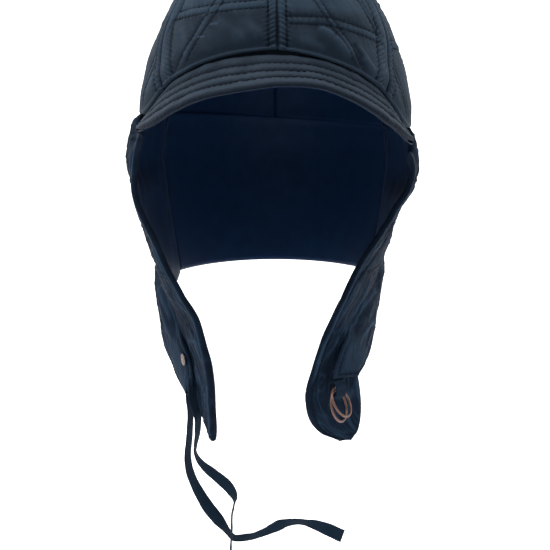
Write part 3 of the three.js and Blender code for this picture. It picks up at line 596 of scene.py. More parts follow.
def quiltFields(across, climb, side):
    # The way above the first level row and beyond the first slanting row: climb - (level + rise * |across|)
    # and |across| * sin(slant) + climb * cos(slant) - offset
    slant = math.radians(quilt["slant"])
    rise, start, end = quilt["levelRise"][side]
    level = climb - quilt["levels"][side] - rise * (np.clip(np.abs(across), start, end) - start)
    return level, np.abs(across) * math.sin(slant) + climb * math.cos(slant) - quilt["slants"][side]


def nearestRow(field):  # how far a place is from the nearest row; there is none before the first
    half, pitch = quilt["pitch"] / 2, quilt["pitch"]
    return np.where(field < -half, field, (field + half) % pitch - half)


def sewnRows(rows, seed):
    # For double rows of stitches, each given as the distance to its middle, the place along it and its width:
    # how full the padding is, the creases under the stitches, the puckers across them, and the strips between
    fill, furrows, puckers, strips = 1.0, 0.0, 0.0, 0.0
    for number, (off, place, between) in enumerate(rows):
        near = np.abs(off) - between / 2
        fill = fill * (1 - 0.9 * np.exp(-np.maximum(near, 0) / 5) * smooth(-between, 0.6, near))
        furrows = furrows + bell(near, 0.7)
        strips = strips + 1 - smooth(-1.6, -0.3, near)
        wave = np.cos(2 * np.pi * place / 3.2 + 2.6 * softNoise(place, off, 5, seed + number))
        wave = wave * (0.6 + 0.4 * softNoise(place, off, 8, seed + 2))
        puckers = puckers + wave * bell(np.maximum(near, 0), 2.6)
    return fill, furrows, puckers, strips


def quiltRelief(across, climb, side, seed):
    # Padding between double rows of stitches, with wide soft dents and folds, in millimetres along the
    # normal, and the tone that is shown with it: a painted highlight on the strips between the rows and on
    # fine ridges, and painted shade in the stitched furrows
    slant = math.radians(quilt["slant"])
    alongSlant = climb * math.sin(slant) - np.abs(across) * math.cos(slant)
    level, oblique = quiltFields(across, climb, side)
    rows = ((nearestRow(level), across, quilt["levelGap"]),
            (nearestRow(oblique), alongSlant, quilt["slantGap"][side]))
    fill, furrows, puckers, strips = sewnRows(rows, seed)
    dents = softNoise(across + 0.5 * climb, climb - 0.4 * across, 14, seed + 3)
    wrinkles = softNoise(across + climb * 0.8, (climb - across * 0.8) * 0.35, 4, seed + 4)
    fine = ridged(across + 0.3 * climb, climb * 0.6, 6, seed + 5) - 0.3
    folds = sum(crease(across, climb, *fold) for fold in crownFolds[side])
    relief = (quilt["puff"] * (fill - 0.6) - quilt["furrow"] * furrows + quilt["pucker"] * puckers
              + quilt["strip"] * strips + quilt["dent"] * dents + quilt["wrinkle"] * wrinkles
              + quilt["fine"] * fine + folds)
    return relief, 0.4 * strips - 0.3 * furrows + 0.08 * fine


def panelGrid(fromAngle, toAngle, columns, rows):
    # A panel between two seams: the share up it goes as a quarter sine, so the rows close up at the top
    s, t = np.meshgrid(shares(columns, 0.057), shares(rows, 0.0228))
    share = t ** crown["closing"]
    rise = np.sin(share * np.pi / 2) ** crown["closing"]
    edge = edgeValue(mix(fromAngle(share), toAngle(share), s), "lip")
    z = mix(edge, crown["height"], rise)
    radius = np.maximum(crown["halfWidth"] * crownWidth(z, crown["height"]), crown["topRadius"])
    overlap = np.degrees(seamLap / radius)
    angle = mix(fromAngle(share) - overlap, toAngle(share) + overlap, s)
    return {"s": s, "share": share, "rise": rise, "z": z, "angle": angle, "radius": radius, "edge": edge,
            "span": np.radians(toAngle(share) - fromAngle(share)) * radius}


def makePanel(name, fromAngle, toAngle, side, topStitches, columns, rows, seed):
    # The wall stands on crownPoint; its outer face carries the relief, and both faces meet in rounded edges
    g = panelGrid(fromAngle, toAngle, columns, rows)
    base = crownPoint(g["angle"], g["z"])
    inside = crownPoint(g["angle"], mix(g["edge"], crown["height"] - crown["wall"], g["rise"]), crown["wall"])
    climb = climbOf(g["z"])
    across = np.radians(g["angle"] - crown["seamFront"]) * g["radius"]
    fromSeam = np.minimum(g["s"], 1 - g["s"]) * g["span"]
    fromEdge = climb - climbOf(g["edge"])
    below = 1 - smooth(0.86, 1, g["share"])  # the relief fades towards the top, where the panels meet
    calm = smooth(2, 8, fromSeam) * smooth(0, 10, fromEdge) * below
    relief, tone = (value * calm for value in quiltRelief(across, climb, side, seed))
    # Beside each seam: a line of stitches, the padded band that it holds down, and the tugs at its thread
    stitchAt = np.where(g["s"] < 0.5, *topStitches)
    atStitch = bell(fromSeam - stitchAt, 0.7) * below * smooth(0, 4, fromEdge)
    band = smooth(0.3, 1.8, fromSeam) * (1 - smooth(stitchAt - 1.7, stitchAt - 0.2, fromSeam)) * below
    wave = 2 * np.pi * (climb + 0.5 * fromSeam) / crownSeam["tugEvery"]
    tug = np.cos(wave + 2 * softNoise(climb, fromSeam, 6, seed + 7))
    tug = tug * bell(fromSeam - stitchAt + 1.6, 3) * below
    relief = relief + crownSeam["band"] * (band - atStitch) + crownSeam["tug"] * tug
    # Along the front's lower edge: a padded roll, the cloth drawn in under it with painted shade, and a
    # raised bead with a painted highlight
    front = 1 - smooth(60, 85, np.abs(g["angle"]))
    under = (1 - smooth(0, 8, fromEdge)) * front
    bead = bell(fromEdge - 1, 1) * front
    shown = relief / 1.4 + tone - 0.4 * under * smooth(1.5, 3.5, fromEdge) + 0.8 * bead
    relief = relief + crownLip["roll"] * bell(fromEdge - crownLip["rollAt"], 7) * front
    relief = relief - crownLip["drawnIn"] * under + crownLip["bead"] * bead
    edgeWay = np.minimum(fromSeam / crownSeam["round"], fromEdge / crownLip["round"])
    middle, half = (base + inside) / 2, (base - inside) / 2 * quarterRound(edgeWay)[..., None]
    outer = middle + half + normals(base, [0, 0, 1]) * (relief * smooth(0, 1, edgeWay))[..., None]
    # Painted light: the top painted lighter, a painted sheen on the sides, the wearer's left half lighter and
    # painted highlights along wrinkles; painted shade in the seams' grooves and along the stitch lines
    paintedLight = (crownPaintedLight["top"] * smooth(54, 62, climb) + crownPaintedLight["sides"] * smooth(45, 62, np.abs(across))
              + crownPaintedLight["halves"][side])
    wrinkleHighlights = sum(crease(across, climb, *wrinkleHighlight, 0.5, crownPaintedLight["wrinkleHighlight"]) for wrinkleHighlight in crownWrinkleHighlights[side])
    shown = shown + paintedLight + wrinkleHighlights - 0.7 * bell(fromSeam, 0.9) - 0.3 * atStitch
    cloth = np.stack([across, climb], -1)
    padded(name, (outer, middle - half), [crownCloth, liningCloth], shown, cloth, "cloth")
    return {**g, "outer": outer, "across": across, "climb": climb, "fromSeam": fromSeam,
            "fromEdge": fromEdge, "side": side, "topStitches": topStitches, "stitchAt": stitchAt}


def sideSeam(side):
    rows = sideSeamRows[side]
    return lambda share: along(rows["angle"], placeOf(rows["share"], share))


def frontSeam(share):
    return crown["seamFront"] * (1 - share)


def fixedSeam(angle):
    return lambda share: angle + 0 * share


panels = {}
rightSeam, leftSeam = sideSeam("right"), sideSeam("left")
backRight, backLeft = fixedSeam(-crown["back"]), fixedSeam(crown["back"])
narrow, wide = crownSeam["topStitch"], crownSeam["sideStitch"]
panelPlan = (
    ("crown_front_right", rightSeam, frontSeam, -1, (wide, narrow), 141, 181),
    ("crown_front_left", frontSeam, leftSeam, 1, (narrow, wide), 141, 181),
    ("crown_side_right", backRight, rightSeam, -1, (narrow, narrow), 121, 141),
    ("crown_side_left", leftSeam, backLeft, 1, (narrow, narrow), 121, 141),
    ("crown_back_right", fixedSeam(-180), backRight, -1, (narrow, narrow), 101, 121),
    ("crown_back_left", backLeft, fixedSeam(180), 1, (narrow, narrow), 101, 121),
)
for number, (panelName, *plan) in enumerate(panelPlan):
    panels[panelName] = makePanel(panelName, *plan, 20 + 10 * number)
print("crown done")


# Peak

peak = {
    "endAngle": 80, "leftEnd": 83.5, "wall": 4.4, "endWall": 3.4, "tuck": 3, "radius": 90, "length": 24,
    "rimRound": 1.1, "endRound": 2.2, "ribs": 4, "ribHeight": 1.2, "bare": 0.22, "pucker": 0.22,
    "rows": (0, 0.298, 0.52, 0.723, 1),  # the ribs' stitch rows, as shares of the section in view
}


def peakSection(angle, share):
    # The way out and the height of a section: a bare share behind and under the lip, then a slope from there
    # to the edge on which each rib stands as a power of a half sine; also the place counted in ribs
    lip, edge, reach = (edgeValue(angle, column) for column in ("lip", "peakEdge", "reach"))
    tuckIn = -crown["wall"] - 3 * gap
    inside = np.clip(share / peak["bare"], 0, 1)
    t = np.clip((share - peak["bare"]) / (1 - peak["bare"]), 0, 1)
    phase = np.interp(t, peak["rows"], np.arange(peak["ribs"] + 1))
    rib = 0.7 * np.abs(np.sin(np.pi * phase)) ** 0.55 * peak["ribHeight"] * smooth(0, 0.1, t)
    start = lip - np.interp(angle, frontMoves["angle"], frontMoves["recess"])
    hidden = np.stack([mix(tuckIn, tuckIn + 0.6, inside ** 2), mix(lip + peak["tuck"], start, inside)], -1)
    shown = np.stack([mix(tuckIn + 0.6, reach, t ** 0.85) + rib, mix(start, edge, t) + rib], -1)
    return np.where((share < peak["bare"])[..., None], hidden, shown), phase


def makePeak():
    # Each section steps out and down from behind the lip to the edge, with rounded ribs between stitch rows
    angle = mix(-peak["endAngle"], peak["leftEnd"], shares(261, 0.0114))
    angle, share = np.meshgrid(angle, shares(95, 0.019))
    section, phase = peakSection(angle, share)
    run = unit(peakSection(angle, np.minimum(share + 0.02, 1))[0]
               - peakSection(angle, np.maximum(share - 0.02, 0))[0])
    wall = mix(peak["wall"], peak["endWall"], smooth(55, peak["endAngle"], np.abs(angle)))
    arc = np.radians(angle) * peak["radius"]
    wobble = 0.24 * softNoise(arc, phase * 6, 7, 91) + 0.14 * softNoise(arc, phase * 7, 2.6, 92)
    rib = np.abs(np.sin(np.pi * phase))
    puckers = np.cos(2 * np.pi * (arc + 2 * np.floor(phase)) / 3.4 + 4 * softNoise(arc, phase * 5, 8, 93))
    puckers = peak["pucker"] * puckers * (1 - smooth(0.4, 1, rib)) * smooth(0.3, 0.9, phase)
    # The rim, the root and both ends are rounded
    fromEnd = np.minimum(angle + peak["endAngle"], peak["leftEnd"] - angle) * 1.55 / peak["endRound"]
    fromRim = (1 - share) * peak["length"] / peak["rimRound"]
    rounded = 1 - quarterRound(np.minimum(np.minimum(fromEnd, fromRim), share * peak["length"]), 0)
    sunk = rounded * np.where(fromEnd < fromRim, wall * 0.48, peak["rimRound"])
    (out, height), (outward, upward) = (np.moveaxis(grid, -1, 0) for grid in (section, run))
    faces = [crownPoint(angle, height - outward * depth, 0, out + upward * depth)
             for depth in (sunk - (wobble + puckers) * (1 - rounded), wall - sunk)]
    # The shown tone is painted light and shade: lighter rib tops and darker grooves, shading on the wobbles
    # and puckers, each lower rib a step lighter, painted shade where the last rib turns under at the rim, and
    # the root painted lighter where it lies in the lip's shadow
    shown = 1.5 * (rib ** 0.7 - 0.66) + 0.8 * wobble + 0.9 * puckers + 0.2 * np.floor(np.minimum(phase, 3.9))
    shown = mix(shown, -0.75, smooth(3.4, 4, phase)) + 1.2 * (1 - smooth(0.05, 0.3, phase))
    cloth = np.stack([arc, share * 26], -1)
    padded("peak", faces, [peakCloth, liningCloth], shown, cloth, "cloth", rim=5)
    return faces[0], phase, angle


peakOuter, peakPhase, peakAngle = makePeak()
print("peak done")


# Ear flaps, their linings and the neck curtain

skirtRows = table("z out", [(0, -1.2), (-12, 1.5), (-30, 3.4), (-55, 1), (-80, -3), (-106, -7)])
curtain = {"bottom": -106, "wall": 3.2, "lap": 1, "sunk": 0.6, "hemStitch": 5}
tuckUp = 2.4  # how far the skirt's top reaches up into the crown's rounded edge
signs = {"right": -1, "left": 1}
flap = {"wall": 3.2, "lobeWall": 4.4, "lobeFrom": 100, "lobeTo": 150, "riseFrom": 0.14, "riseTo": 0.26,
        "rows": 3.6, "quiltTo": -112, "stripStitch": 3.8, "strip": 0.7, "sunk": 0.3, "sunkMore": 1.4}
lining = {"wall": 0.7, "across": (0.05, 0.985), "down": (0.005, 0.965), "behind": 0.6, "ripple": 0.25}
flapRows = {
    "right": table("z frontX frontY sideX sideY rearX rearY", [
        (-10.4, -79.5, -37, -84.5, 2, 0, 0), (-22, -82.4, -33.5, -91.3, 0, 0, 0),
        (-34, -84, -33.5, -91.3, 0, 0, 0), (-46, -84.6, -36, -86.5, 0, 0, 0),
        (-58, -80, -39.5, -84.8, -4, 0, 0), (-73, -72.2, -43.5, -81, -7, 0, 0),
        (-90, -64, -48.5, -75.2, -12, 0, 0), (-106, -55, -52.5, -70.6, -13.7, 0, 0),
        (-118, -47.5, -56.2, -65.8, -21.6, -71.8, 4), (-130, -44, -59.5, -57.2, -35.6, -71.2, -8.5),
        (-144, -41.4, -62, -49.2, -43.2, -66.2, -18.2), (-158, -39.9, -63.2, -45.8, -46.4, -57.6, -24),
        (-171, -39, -64, -44, -50, -50, -33), (-179, -38.4, -64, -42.4, -54, -45.4, -43),
        (-184.5, -38.7, -63.6, -41, -57.5, -42.6, -51), (-189.5, -39.2, -62.6, -39.6, -61, -40, -59.2),
    ]),
    "left": table("z frontX frontY sideX sideY rearX rearY", [
        (-22, 78.6, -35.5, 82, 2, 0, 0), (-33, 80.4, -33, 86.4, -1, 0, 0),
        (-45, 77.4, -35, 83.5, -2, 0, 0), (-55, 70.4, -38.8, 76.8, -5, 0, 0),
        (-66, 63, -43.2, 73.6, -8, 0, 0), (-84, 50, -49.2, 67.4, -11, 0, 0),
        (-106, 38.5, -55, 58.2, -20, 0, 0), (-120, 32, -58, 52.2, -28.6, 62, 6),
        (-135, 24.6, -60.5, 43.2, -47, 57.6, -20.5), (-148, 20.8, -61, 36.5, -52.5, 49.6, -38),
        (-160, 17.2, -61, 35, -55, 50.6, -44), (-168, 17.2, -61, 35, -56, 51.4, -46.5),
        (-175, 18.6, -60.8, 36, -56.3, 51.4, -48.5), (-181, 21.4, -60.2, 37.6, -56.6, 50.8, -50),
        (-186.5, 27, -59.2, 39.4, -56.4, 49.2, -52), (-191, 38, -57.8, 41.4, -56.7, 45, -55.6),
    ]),
}


def skirtPoint(angle, z):  # the crown's ellipse carried down and moved out by the table
    return crownPoint(angle, z, 0, along(skirtRows["out"], placeOf(skirtRows["z"], z)))


def flapSurface(side, s, t):
    # Level sections, each a quadratic curve from the front edge through the side to the rear edge. Above the
    # curtain's end the rear edge is the curtain's seam, below it the table's free rear edge. Near the crown
    # the surface is mixed with the crown's own, and sewn in a little way under its lower edge.
    rows, sign = flapRows[side], signs[side]
    last = len(rows["z"]) - 1
    at = t * last
    z = np.interp(at, np.arange(last + 1), rows["z"])
    curtainAt = placeOf(rows["z"], curtain["bottom"])
    free = round(float(curtainAt)) + 1
    seamAngle = sign * (crown["back"] + np.degrees(seamLap / crown["halfDepth"]))
    seam = skirtPoint(seamAngle + 0 * z, np.maximum(z, curtain["bottom"]))
    corner = skirtPoint(seamAngle, curtain["bottom"])
    flat = []
    for axis, letter in enumerate("XY"):
        values = np.concatenate([[float(corner[axis])], rows["rear" + letter][free:]])
        rear = np.where(at > curtainAt, along(values, at - curtainAt), seam[..., axis])
        front, middle = along(rows["front" + letter], at), along(rows["side" + letter], at)
        control = 2 * middle - (front + rear) / 2
        flat.append((1 - s) ** 2 * front + 2 * s * (1 - s) * control + s ** 2 * rear)
    begun = smooth(flap["riseFrom"], flap["riseTo"], s)
    edge = edgeValue(sign * mix(70, crown["back"], s), "lip")
    height = mix(z, edge + tuckUp, begun * np.maximum(0, 1 - at))
    around = np.arctan2((flat[0] - crown["shift"]) / crown["halfWidth"], -flat[1] / crown["halfDepth"])
    sunk = flap["sunk"] + flap["sunkMore"] * smooth(-0.5, 2, height - edge)
    under = crownPoint(np.degrees(around), height, 0, -sunk)
    share = begun * smooth(-3.5, 0.5, height - edge)
    return np.stack([mix(flat[0], under[..., 0], share), mix(flat[1], under[..., 1], share), height], -1)


def flapNormals(side, s, t):  # a flap's outward normals, which turn to the curtain's at their common seam
    n = stepNormals(flapSurface, side, s, t, {"right": (-1, -0.3, 0), "left": (1, -0.6, 0)}[side])
    z = flapSurface(side, s, t)[..., 2]
    share = smooth(0.8, 1, s) * smooth(curtain["bottom"] - 14, curtain["bottom"] - 1, z)
    return unit(mix(n, levelNormal(signs[side] * crown["back"]), share[..., None]))


def flapWall(z):  # the flap's thickness, which grows down to the lobe
    return mix(flap["wall"], flap["lobeWall"], smooth(flap["lobeFrom"], flap["lobeTo"], -z))


flapFolds = {  # ridges that run down the flaps: both ends as ways in and down, width, height
    "right": [((30, 104), (16, 106), 2, 0.9), ((16, 106), (4, 114), 2, 0.9), ((12, 128), (5, 150), 2, 0.6),
              ((9, 150), (6, 176), 2, 0.5), ((20, 118), (12, 140), 2.2, -0.6)],
    "left": [((25, 104), (20, 128), 1.7, 1.0), ((20, 128), (14, 150), 1.7, 1.0),
             ((12, 112), (9, 150), 1.8, 0.5), ((36, 79), (20, 68), 2, 0.7), ((20, 182), (28, 195), 1.8, 0.8)],
}
# Crumples of the flaps' cloth, each as its lean, stretch, size and height
flapCrumples = (-0.3, 0.25, 7, 0.45), (0.2, 0.4, 3.6, 0.35), (0.1, 0.25, 2, 0.2)


def flapFields(fromFront, z):  # the ways past the flap's first level and slanting rows of quilting
    return z + 40, fromFront * 0.85 - z * 0.52 - 30


def flapRelief(side, base, fromFront, down, seed):
    # Quilting on the upper half, a padded strip along the front edge, long folds and crumples down to the
    # lobe, and the tone that is shown with them: painted highlights on the crumples, the fine ridges and the
    # front edge's ridge, and painted shade in the furrows and on the front edge's face
    z = base[..., 2]
    level, oblique = (nearestRow(field + 4 * quilt["pitch"]) for field in flapFields(fromFront, z))
    rows = (level, fromFront, flap["rows"]), (oblique, z, flap["rows"])
    fill, furrows, puckers, strips = sewnRows(rows, seed)
    upper = smooth(flap["quiltTo"], flap["quiltTo"] + 25, z)
    quilted = (0.9 * (fill - 0.6) - 0.35 * furrows + 0.2 * puckers + 0.2 * strips) * upper
    crumple = sum((height * ridged(fromFront + lean * z, z * drawn, size, seed + 3 + number)
                   for number, (lean, drawn, size, height) in enumerate(flapCrumples)), -0.3)
    folds = crumple + 0.4 * softNoise(fromFront + 0.45 * z, z * 0.22, 6.5, seed + 1)
    folds = folds + 0.4 * softNoise(fromFront, z, 17, seed + 2)
    folds = folds + sum(crease(fromFront, down, *fold) for fold in flapFolds[side])
    strip = smooth(0.3, 1.2, fromFront) * (1 - smooth(2.2, 3.6, fromFront))
    away = smooth(3.4, 8, fromFront)
    relief = (quilted + folds) * away + 0.25 * folds * (1 - away)
    relief = relief + flap["strip"] * strip - 0.4 * bell(fromFront - flap["stripStitch"], 0.7)
    lobe = 1 - smooth(-165, -138, z)
    flat = lobe if side == "left" else 0 * z  # the left lobe's edge gets no painted highlight, and its painted shade reaches further in
    fine = ridged(fromFront + 0.15 * z, z * 0.14, 2.8, seed + 6) * lobe
    # Along the front edge: a painted highlight on the ridge just inside it and painted shade on its rounded
    # face
    rim = 0.7 * bell(fromFront - 2.4, 0.9) * (1 - flat) - 0.8 * (1 - smooth(0.4, 1.7 + 3 * flat, fromFront))
    relief = relief - 0.5 * strip * flat + 0.22 * fine * away
    return relief, 0.9 * crumple + 0.5 * fine - 0.3 * furrows * upper + rim


def makeFlap(side, seed):
    # A wall whose outer face carries the quilting; thicker in the lobe, with all of its edges rounded
    s, t = np.meshgrid(shares(121, 0.057), shares(221, 0.0152))
    base, normal = flapSurface(side, s, t), flapNormals(side, s, t)
    fromFront, down = gridWays(base)
    toRear = fromFront[:, -1:] - fromFront
    wall = flapWall(base[..., 2])
    edgeWay = edgeDistance(fromFront, down) / (wall / 2)
    calm = smooth(0, 5, toRear) * smooth(0, 4, down[-1:] - down) * smooth(0, 5, down)
    relief, tone = (value * calm for value in flapRelief(side, base, fromFront, down, seed))
    outer, inner = wallFaces(base, normal, wall, quarterRound(edgeWay), relief * smooth(0, 1, edgeWay))
    cloth = np.stack([fromFront, down], -1)
    # The shown tone is the relief with flapRelief's painted light and shade
    padded(f"ear_flap_{side}", (outer, inner), [flapCloth, flapCloth], relief / 1.6 + tone, cloth)
    return {"outer": outer, "fromFront": fromFront, "down": down, "z": base[..., 2], "toRear": toRear}


def makeFlapLining(side, seed):
    # A thin sheet behind the flap, which keeps clear of it and ends inside its edges
    s, t = np.meshgrid(np.linspace(*lining["across"], 81), np.linspace(*lining["down"], 141))
    base, normal = flapSurface(side, s, t), flapNormals(side, s, t)
    across, down = gridWays(base)
    ripple = lining["ripple"] * softNoise(across + 0.3 * down, down * 0.3, 7, seed)
    sewn = smooth(0, 3, edgeDistance(across, down))
    wall = flapWall(base[..., 2])
    outer = base - normal * (wall - lining["behind"])[..., None]
    inner = base - normal * (wall + (lining["wall"] - ripple) * sewn - 0.15 * (1 - sewn))[..., None]
    name = f"flap_lining_{side}"
    piece = shell(name + "_taffeta", outer, inner, [liningCloth, liningCloth], None,
                  np.stack([across, down], -1), 2)
    dressed(piece, "lining", name)


flaps = {side: makeFlap(side, 40 + 10 * k) for k, side in enumerate(signs)}
for k, side in enumerate(signs):
    makeFlapLining(side, 61 + k)


def makeCurtain():
    # The back of the skirt between the two flaps, quilted as the flaps are and lapped under their ends
    end = crown["back"] - np.degrees(curtain["lap"] / crown["halfDepth"])
    angle, t = np.meshgrid(mix(end, 360 - end, shares(161, 0.057)), shares(101, 0.038))
    edge = edgeValue(np.where(angle > 180, angle - 360, angle), "lip")
    z = mix(edge + tuckUp, curtain["bottom"], t)
    normal = levelNormal(angle)
    base = skirtPoint(angle, z) - normal * (curtain["sunk"] * smooth(-3.5, 0.5, z - edge))[..., None]
    across, down = gridWays(base)
    fromEdge = edgeDistance(across, down)
    edgeWay = fromEdge / (curtain["wall"] / 2)
    centred = across - across[:, -1:] / 2
    relief = quiltRelief(centred, -z, 1, 71)[0] * smooth(0, 9, fromEdge)
    relief = relief - 0.4 * bell(fromEdge - curtain["hemStitch"], 0.8)
    wall = curtain["wall"] + 0 * z
    outer, inner = wallFaces(base, normal, wall, quarterRound(edgeWay), relief * smooth(0, 1, edgeWay))
    cloth = np.stack([across, down], -1)
    # Its relief is shown as tone: painted highlights on the raised padding and painted shade in the hollows
    padded("neck_curtain", (outer, inner), [flapCloth, liningCloth], relief / 1.4, cloth)
    return {"outer": outer, "across": centred, "climb": -z, "fromEdge": fromEdge}


curtainPiece = makeCurtain()
print("skirt done")


# Strap tongues, ring tab, rings and rivet

tongue = {"wall": 2.2, "bow": 0.8, "blend": 9, "stitchAt": 2.4, "slits": {"right": 0.6, "left": 0.645},
          "rearSewn": 0.12}  # the rear edge stays sewn down further than the front edge, as a share
tongueRows = {
    "right": table("frontX frontY frontZ rearX rearY rearZ", [
        (-74.8, 40, -78, -70.2, 40, -103), (-77.6, 10, -88, -75.4, 14, -112),
        (-75.4, -14, -99, -75, 0, -124), (-69, -26, -113, -73.8, -7, -135),
        (-60.5, -35, -129, -71, -15, -145), (-53, -41, -146, -64.6, -23, -156),
        (-51.4, -42, -158, -60, -27, -164), (-52.9, -42, -168.6, -55.6, -30, -170),
    ]),
    "left": table("frontX frontY frontZ rearX rearY rearZ", [
        (71.9, 40, -80, 67.7, 40, -104), (69.6, 8, -92, 66.8, 14, -113),
        (62.8, -15, -104, 65.4, 3, -125), (53, -36, -115, 62.3, -15, -134),
        (40.8, -54, -131, 57.6, -32, -144), (35.7, -62, -142, 52, -45, -149.5),
        (33.1, -66.5, -150.5, 48.4, -54, -150.5),
    ]),
}


def tongueSurface(side, s, t):  # straight across from the front edge to the rear edge, with a bow outwards
    rows = tongueRows[side]
    at = t * (len(rows["frontX"]) - 1)
    front, rear = (np.stack([along(rows[edge + axis], at) for axis in "XYZ"], -1)
                   for edge in ("front", "rear"))
    bow = signs[side] * tongue["bow"] * 4 * s * (1 - s)
    return mix(front, rear, s[..., None]) + bow[..., None] * np.array([1.0, 0, 0])


def tongueNormals(side, s, t):
    return stepNormals(tongueSurface, side, s, t, (signs[side], -0.3, 0))


def restingOn(points, normal, surface):  # how far each point lies above a surface, along its own normal
    flat = surface[::3, ::3].reshape(-1, 3)
    away = flat[None] - points.reshape(-1, 1, 3)
    above = np.einsum("pqk,pk->pq", away, normal.reshape(-1, 3))
    beside = np.einsum("pqk,pqk->pq", away, away) - above ** 2 + 0.04 * above ** 2
    nearest = np.argsort(beside, axis=1)[:, :4]
    weight = 1 / (np.take_along_axis(beside, nearest, 1) + 0.3)
    height = -np.take_along_axis(above, nearest, 1)
    return ((height * weight).sum(1) / weight.sum(1)).reshape(points.shape[:2])


strapRidges = {  # ridges pressed into the straps, given as the flaps' folds are
    "right": [((5, 60), (4, 86), 1.8, 0.7), ((12, 66), (9, 100), 2, 0.6), ((18, 84), (13, 112), 2, 0.5)],
    "left": [((20, 61), (12, 95), 1.8, 1.0), ((12, 95), (13.5, 106), 1.6, 0.7),
             ((4, 58), (1.6, 92), 1.6, 0.8)],
}


def strapFolds(side, across, down):  # ridges and crumples along the sewn part of a strap
    crumple = (0.5 * ridged(across - 0.25 * down, down * 0.25, 7, 34)
               + 0.3 * ridged(across + 0.2 * down, down * 0.4, 3.6, 35) - 0.25)
    return crumple + sum(crease(across, down, *ridge) for ridge in strapRidges[side])


def makeTongue(side, seed):
    # A flat doubled strap with turned edges and a stitched line inside them. Above its slit it is padded out
    # from the flap and its edges run down onto the flap; below, it hangs free.
    s, t = np.meshgrid(shares(81, 0.076), shares(221, 0.019))
    base, normal = tongueSurface(side, s, t), tongueNormals(side, s, t)
    rough = np.meshgrid(np.linspace(0, 1, 17), np.linspace(0, 1, 61))
    above = restingOn(tongueSurface(side, *rough), tongueNormals(side, *rough), flaps[side]["outer"])
    above = sampled(above, np.stack([t.ravel() * 60, s.ravel() * 16], -1)).reshape(t.shape)
    across, down = gridWays(base)
    width, toEnd = across[:, -1:], down[-1:] - down
    toSides = np.minimum(across, width - across)
    fromEdge = np.minimum(toSides, toEnd)
    slit = tongue["slits"][side] + smooth(0.4, 0.9, s) * tongue["rearSewn"]
    sewn = 1 - smooth(slit - 0.07, slit + 0.03, t)
    drawnIn = np.minimum(above - 0.1, mix(20, 1.2, smooth(0.4, 0.8, s) * smooth(0.2, 0.45, t)))
    settled = drawnIn * sewn * (1 - smooth(0, tongue["blend"], np.minimum(toSides, down * 0.4)))
    wall = mix(tongue["wall"], np.maximum(above - settled + 0.5, 0.3), sewn)
    fullness = mix(quarterRound(fromEdge / (wall / 2), 0.001), 1, sewn)
    wrinkles = 0.25 * softNoise(across + 0.2 * down, down * 0.3, 5, seed)
    wrinkles = wrinkles + 0.12 * softNoise(across, down, 2.6, seed + 1)
    edging = 0.35 * smooth(3, 6, fromEdge) - 0.35 * bell(fromEdge - tongue["stitchAt"], 0.6)
    folds = strapFolds(side, across, down) * sewn
    relief = wrinkles + edging * (1 - sewn) + folds
    outer, inner = wallFaces(base - normal * settled[..., None], normal, wall, fullness,
                             relief * smooth(0, 1.2, fromEdge))
    # The shown tone adds painted highlights on the folds and along the free strap's edges, and painted shade
    # at its end
    shown = relief / 1.6 + 0.15 + 0.5 * folds + 0.2 * bell(toSides - 0.8, 0.8) * (1 - sewn)
    shown = shown - 0.5 * (1 - smooth(0, 1.5, toEnd))
    name = f"strap_tongue_{side}"
    piece = shell(name + "_cloth", outer, inner, [flapCloth, flapCloth], shown,
                  np.stack([across, down], -1), 2)
    dressed(piece, "skirt_cloth", name)
    return {"outer": outer, "across": across, "width": width, "share": t, "toEnd": toEnd}


tongues = {side: makeTongue(side, 81 + 3 * k) for k, side in enumerate(signs)}

tab = {"width": 7.8, "wall": 1, "channel": 5.3, "top": -151.8, "centre": (35.2, -63.1, -159), "turn": 38,
       "legs": 5.6, "bend": 6.3}
ring = {"outer": 19.4, "wire": 1.35, "lean": -22, "turn": 62,
        "tops": {"ring_front": (2.9, 30), "ring_back": (0.85, 18)}}


def levelWays(turn):  # a level direction turned from +X, and the one at right angles to it towards the front
    a = math.radians(turn)
    return np.array([math.cos(a), math.sin(a), 0]), np.array([math.sin(a), -math.cos(a), 0])


def makeRingTab():
    # A strip bent round the rings: two straight legs that pinch together at the top and half a turn between
    s, t = np.meshgrid(np.linspace(0, 1, 121), shares(21, 0.057))
    tabAcross, tabFacing = levelWays(tab["turn"])
    reach = tab["legs"] + tab["bend"] / 2
    path = mix(-reach, reach, s)
    bend = path / tab["bend"] * np.pi
    share = np.clip((np.abs(path) - tab["bend"] / 2) / tab["legs"], 0, 1)
    centre = np.array(tab["centre"], float)
    layers = []
    rounded = quarterRound(np.minimum(t, 1 - t) * tab["width"] / 0.5, 0.002)
    ripple = 0.06 * softNoise(path, t * 5, 1.6, 95)
    for offset in (tab["wall"] * (0.5 + 0.5 * rounded) + ripple, tab["wall"] * (0.5 - 0.5 * rounded)):
        half = tab["channel"] / 2 + offset
        pinch = (tab["channel"] / 2 - gap / 2) * smooth(0.6, 1, share)
        straight = np.abs(path) >= tab["bend"] / 2
        out = np.where(straight, np.sign(path) * (half - pinch), half * np.sin(bend))
        up = np.where(straight, (tab["top"] - centre[2]) * share, -half * np.cos(bend))
        layers.append(centre + out[..., None] * tabFacing + ((t - 0.5) * tab["width"])[..., None] * tabAcross
                      + up[..., None] * np.array([0, 0, 1.0]))
    cloth = np.stack([t * tab["width"], path], -1)
    piece = shell("ring_tab_cloth", *layers, [flapCloth, flapCloth], 0 * s + 0.1, cloth, 2)
    dressed(piece, "skirt_cloth", "ring_tab")


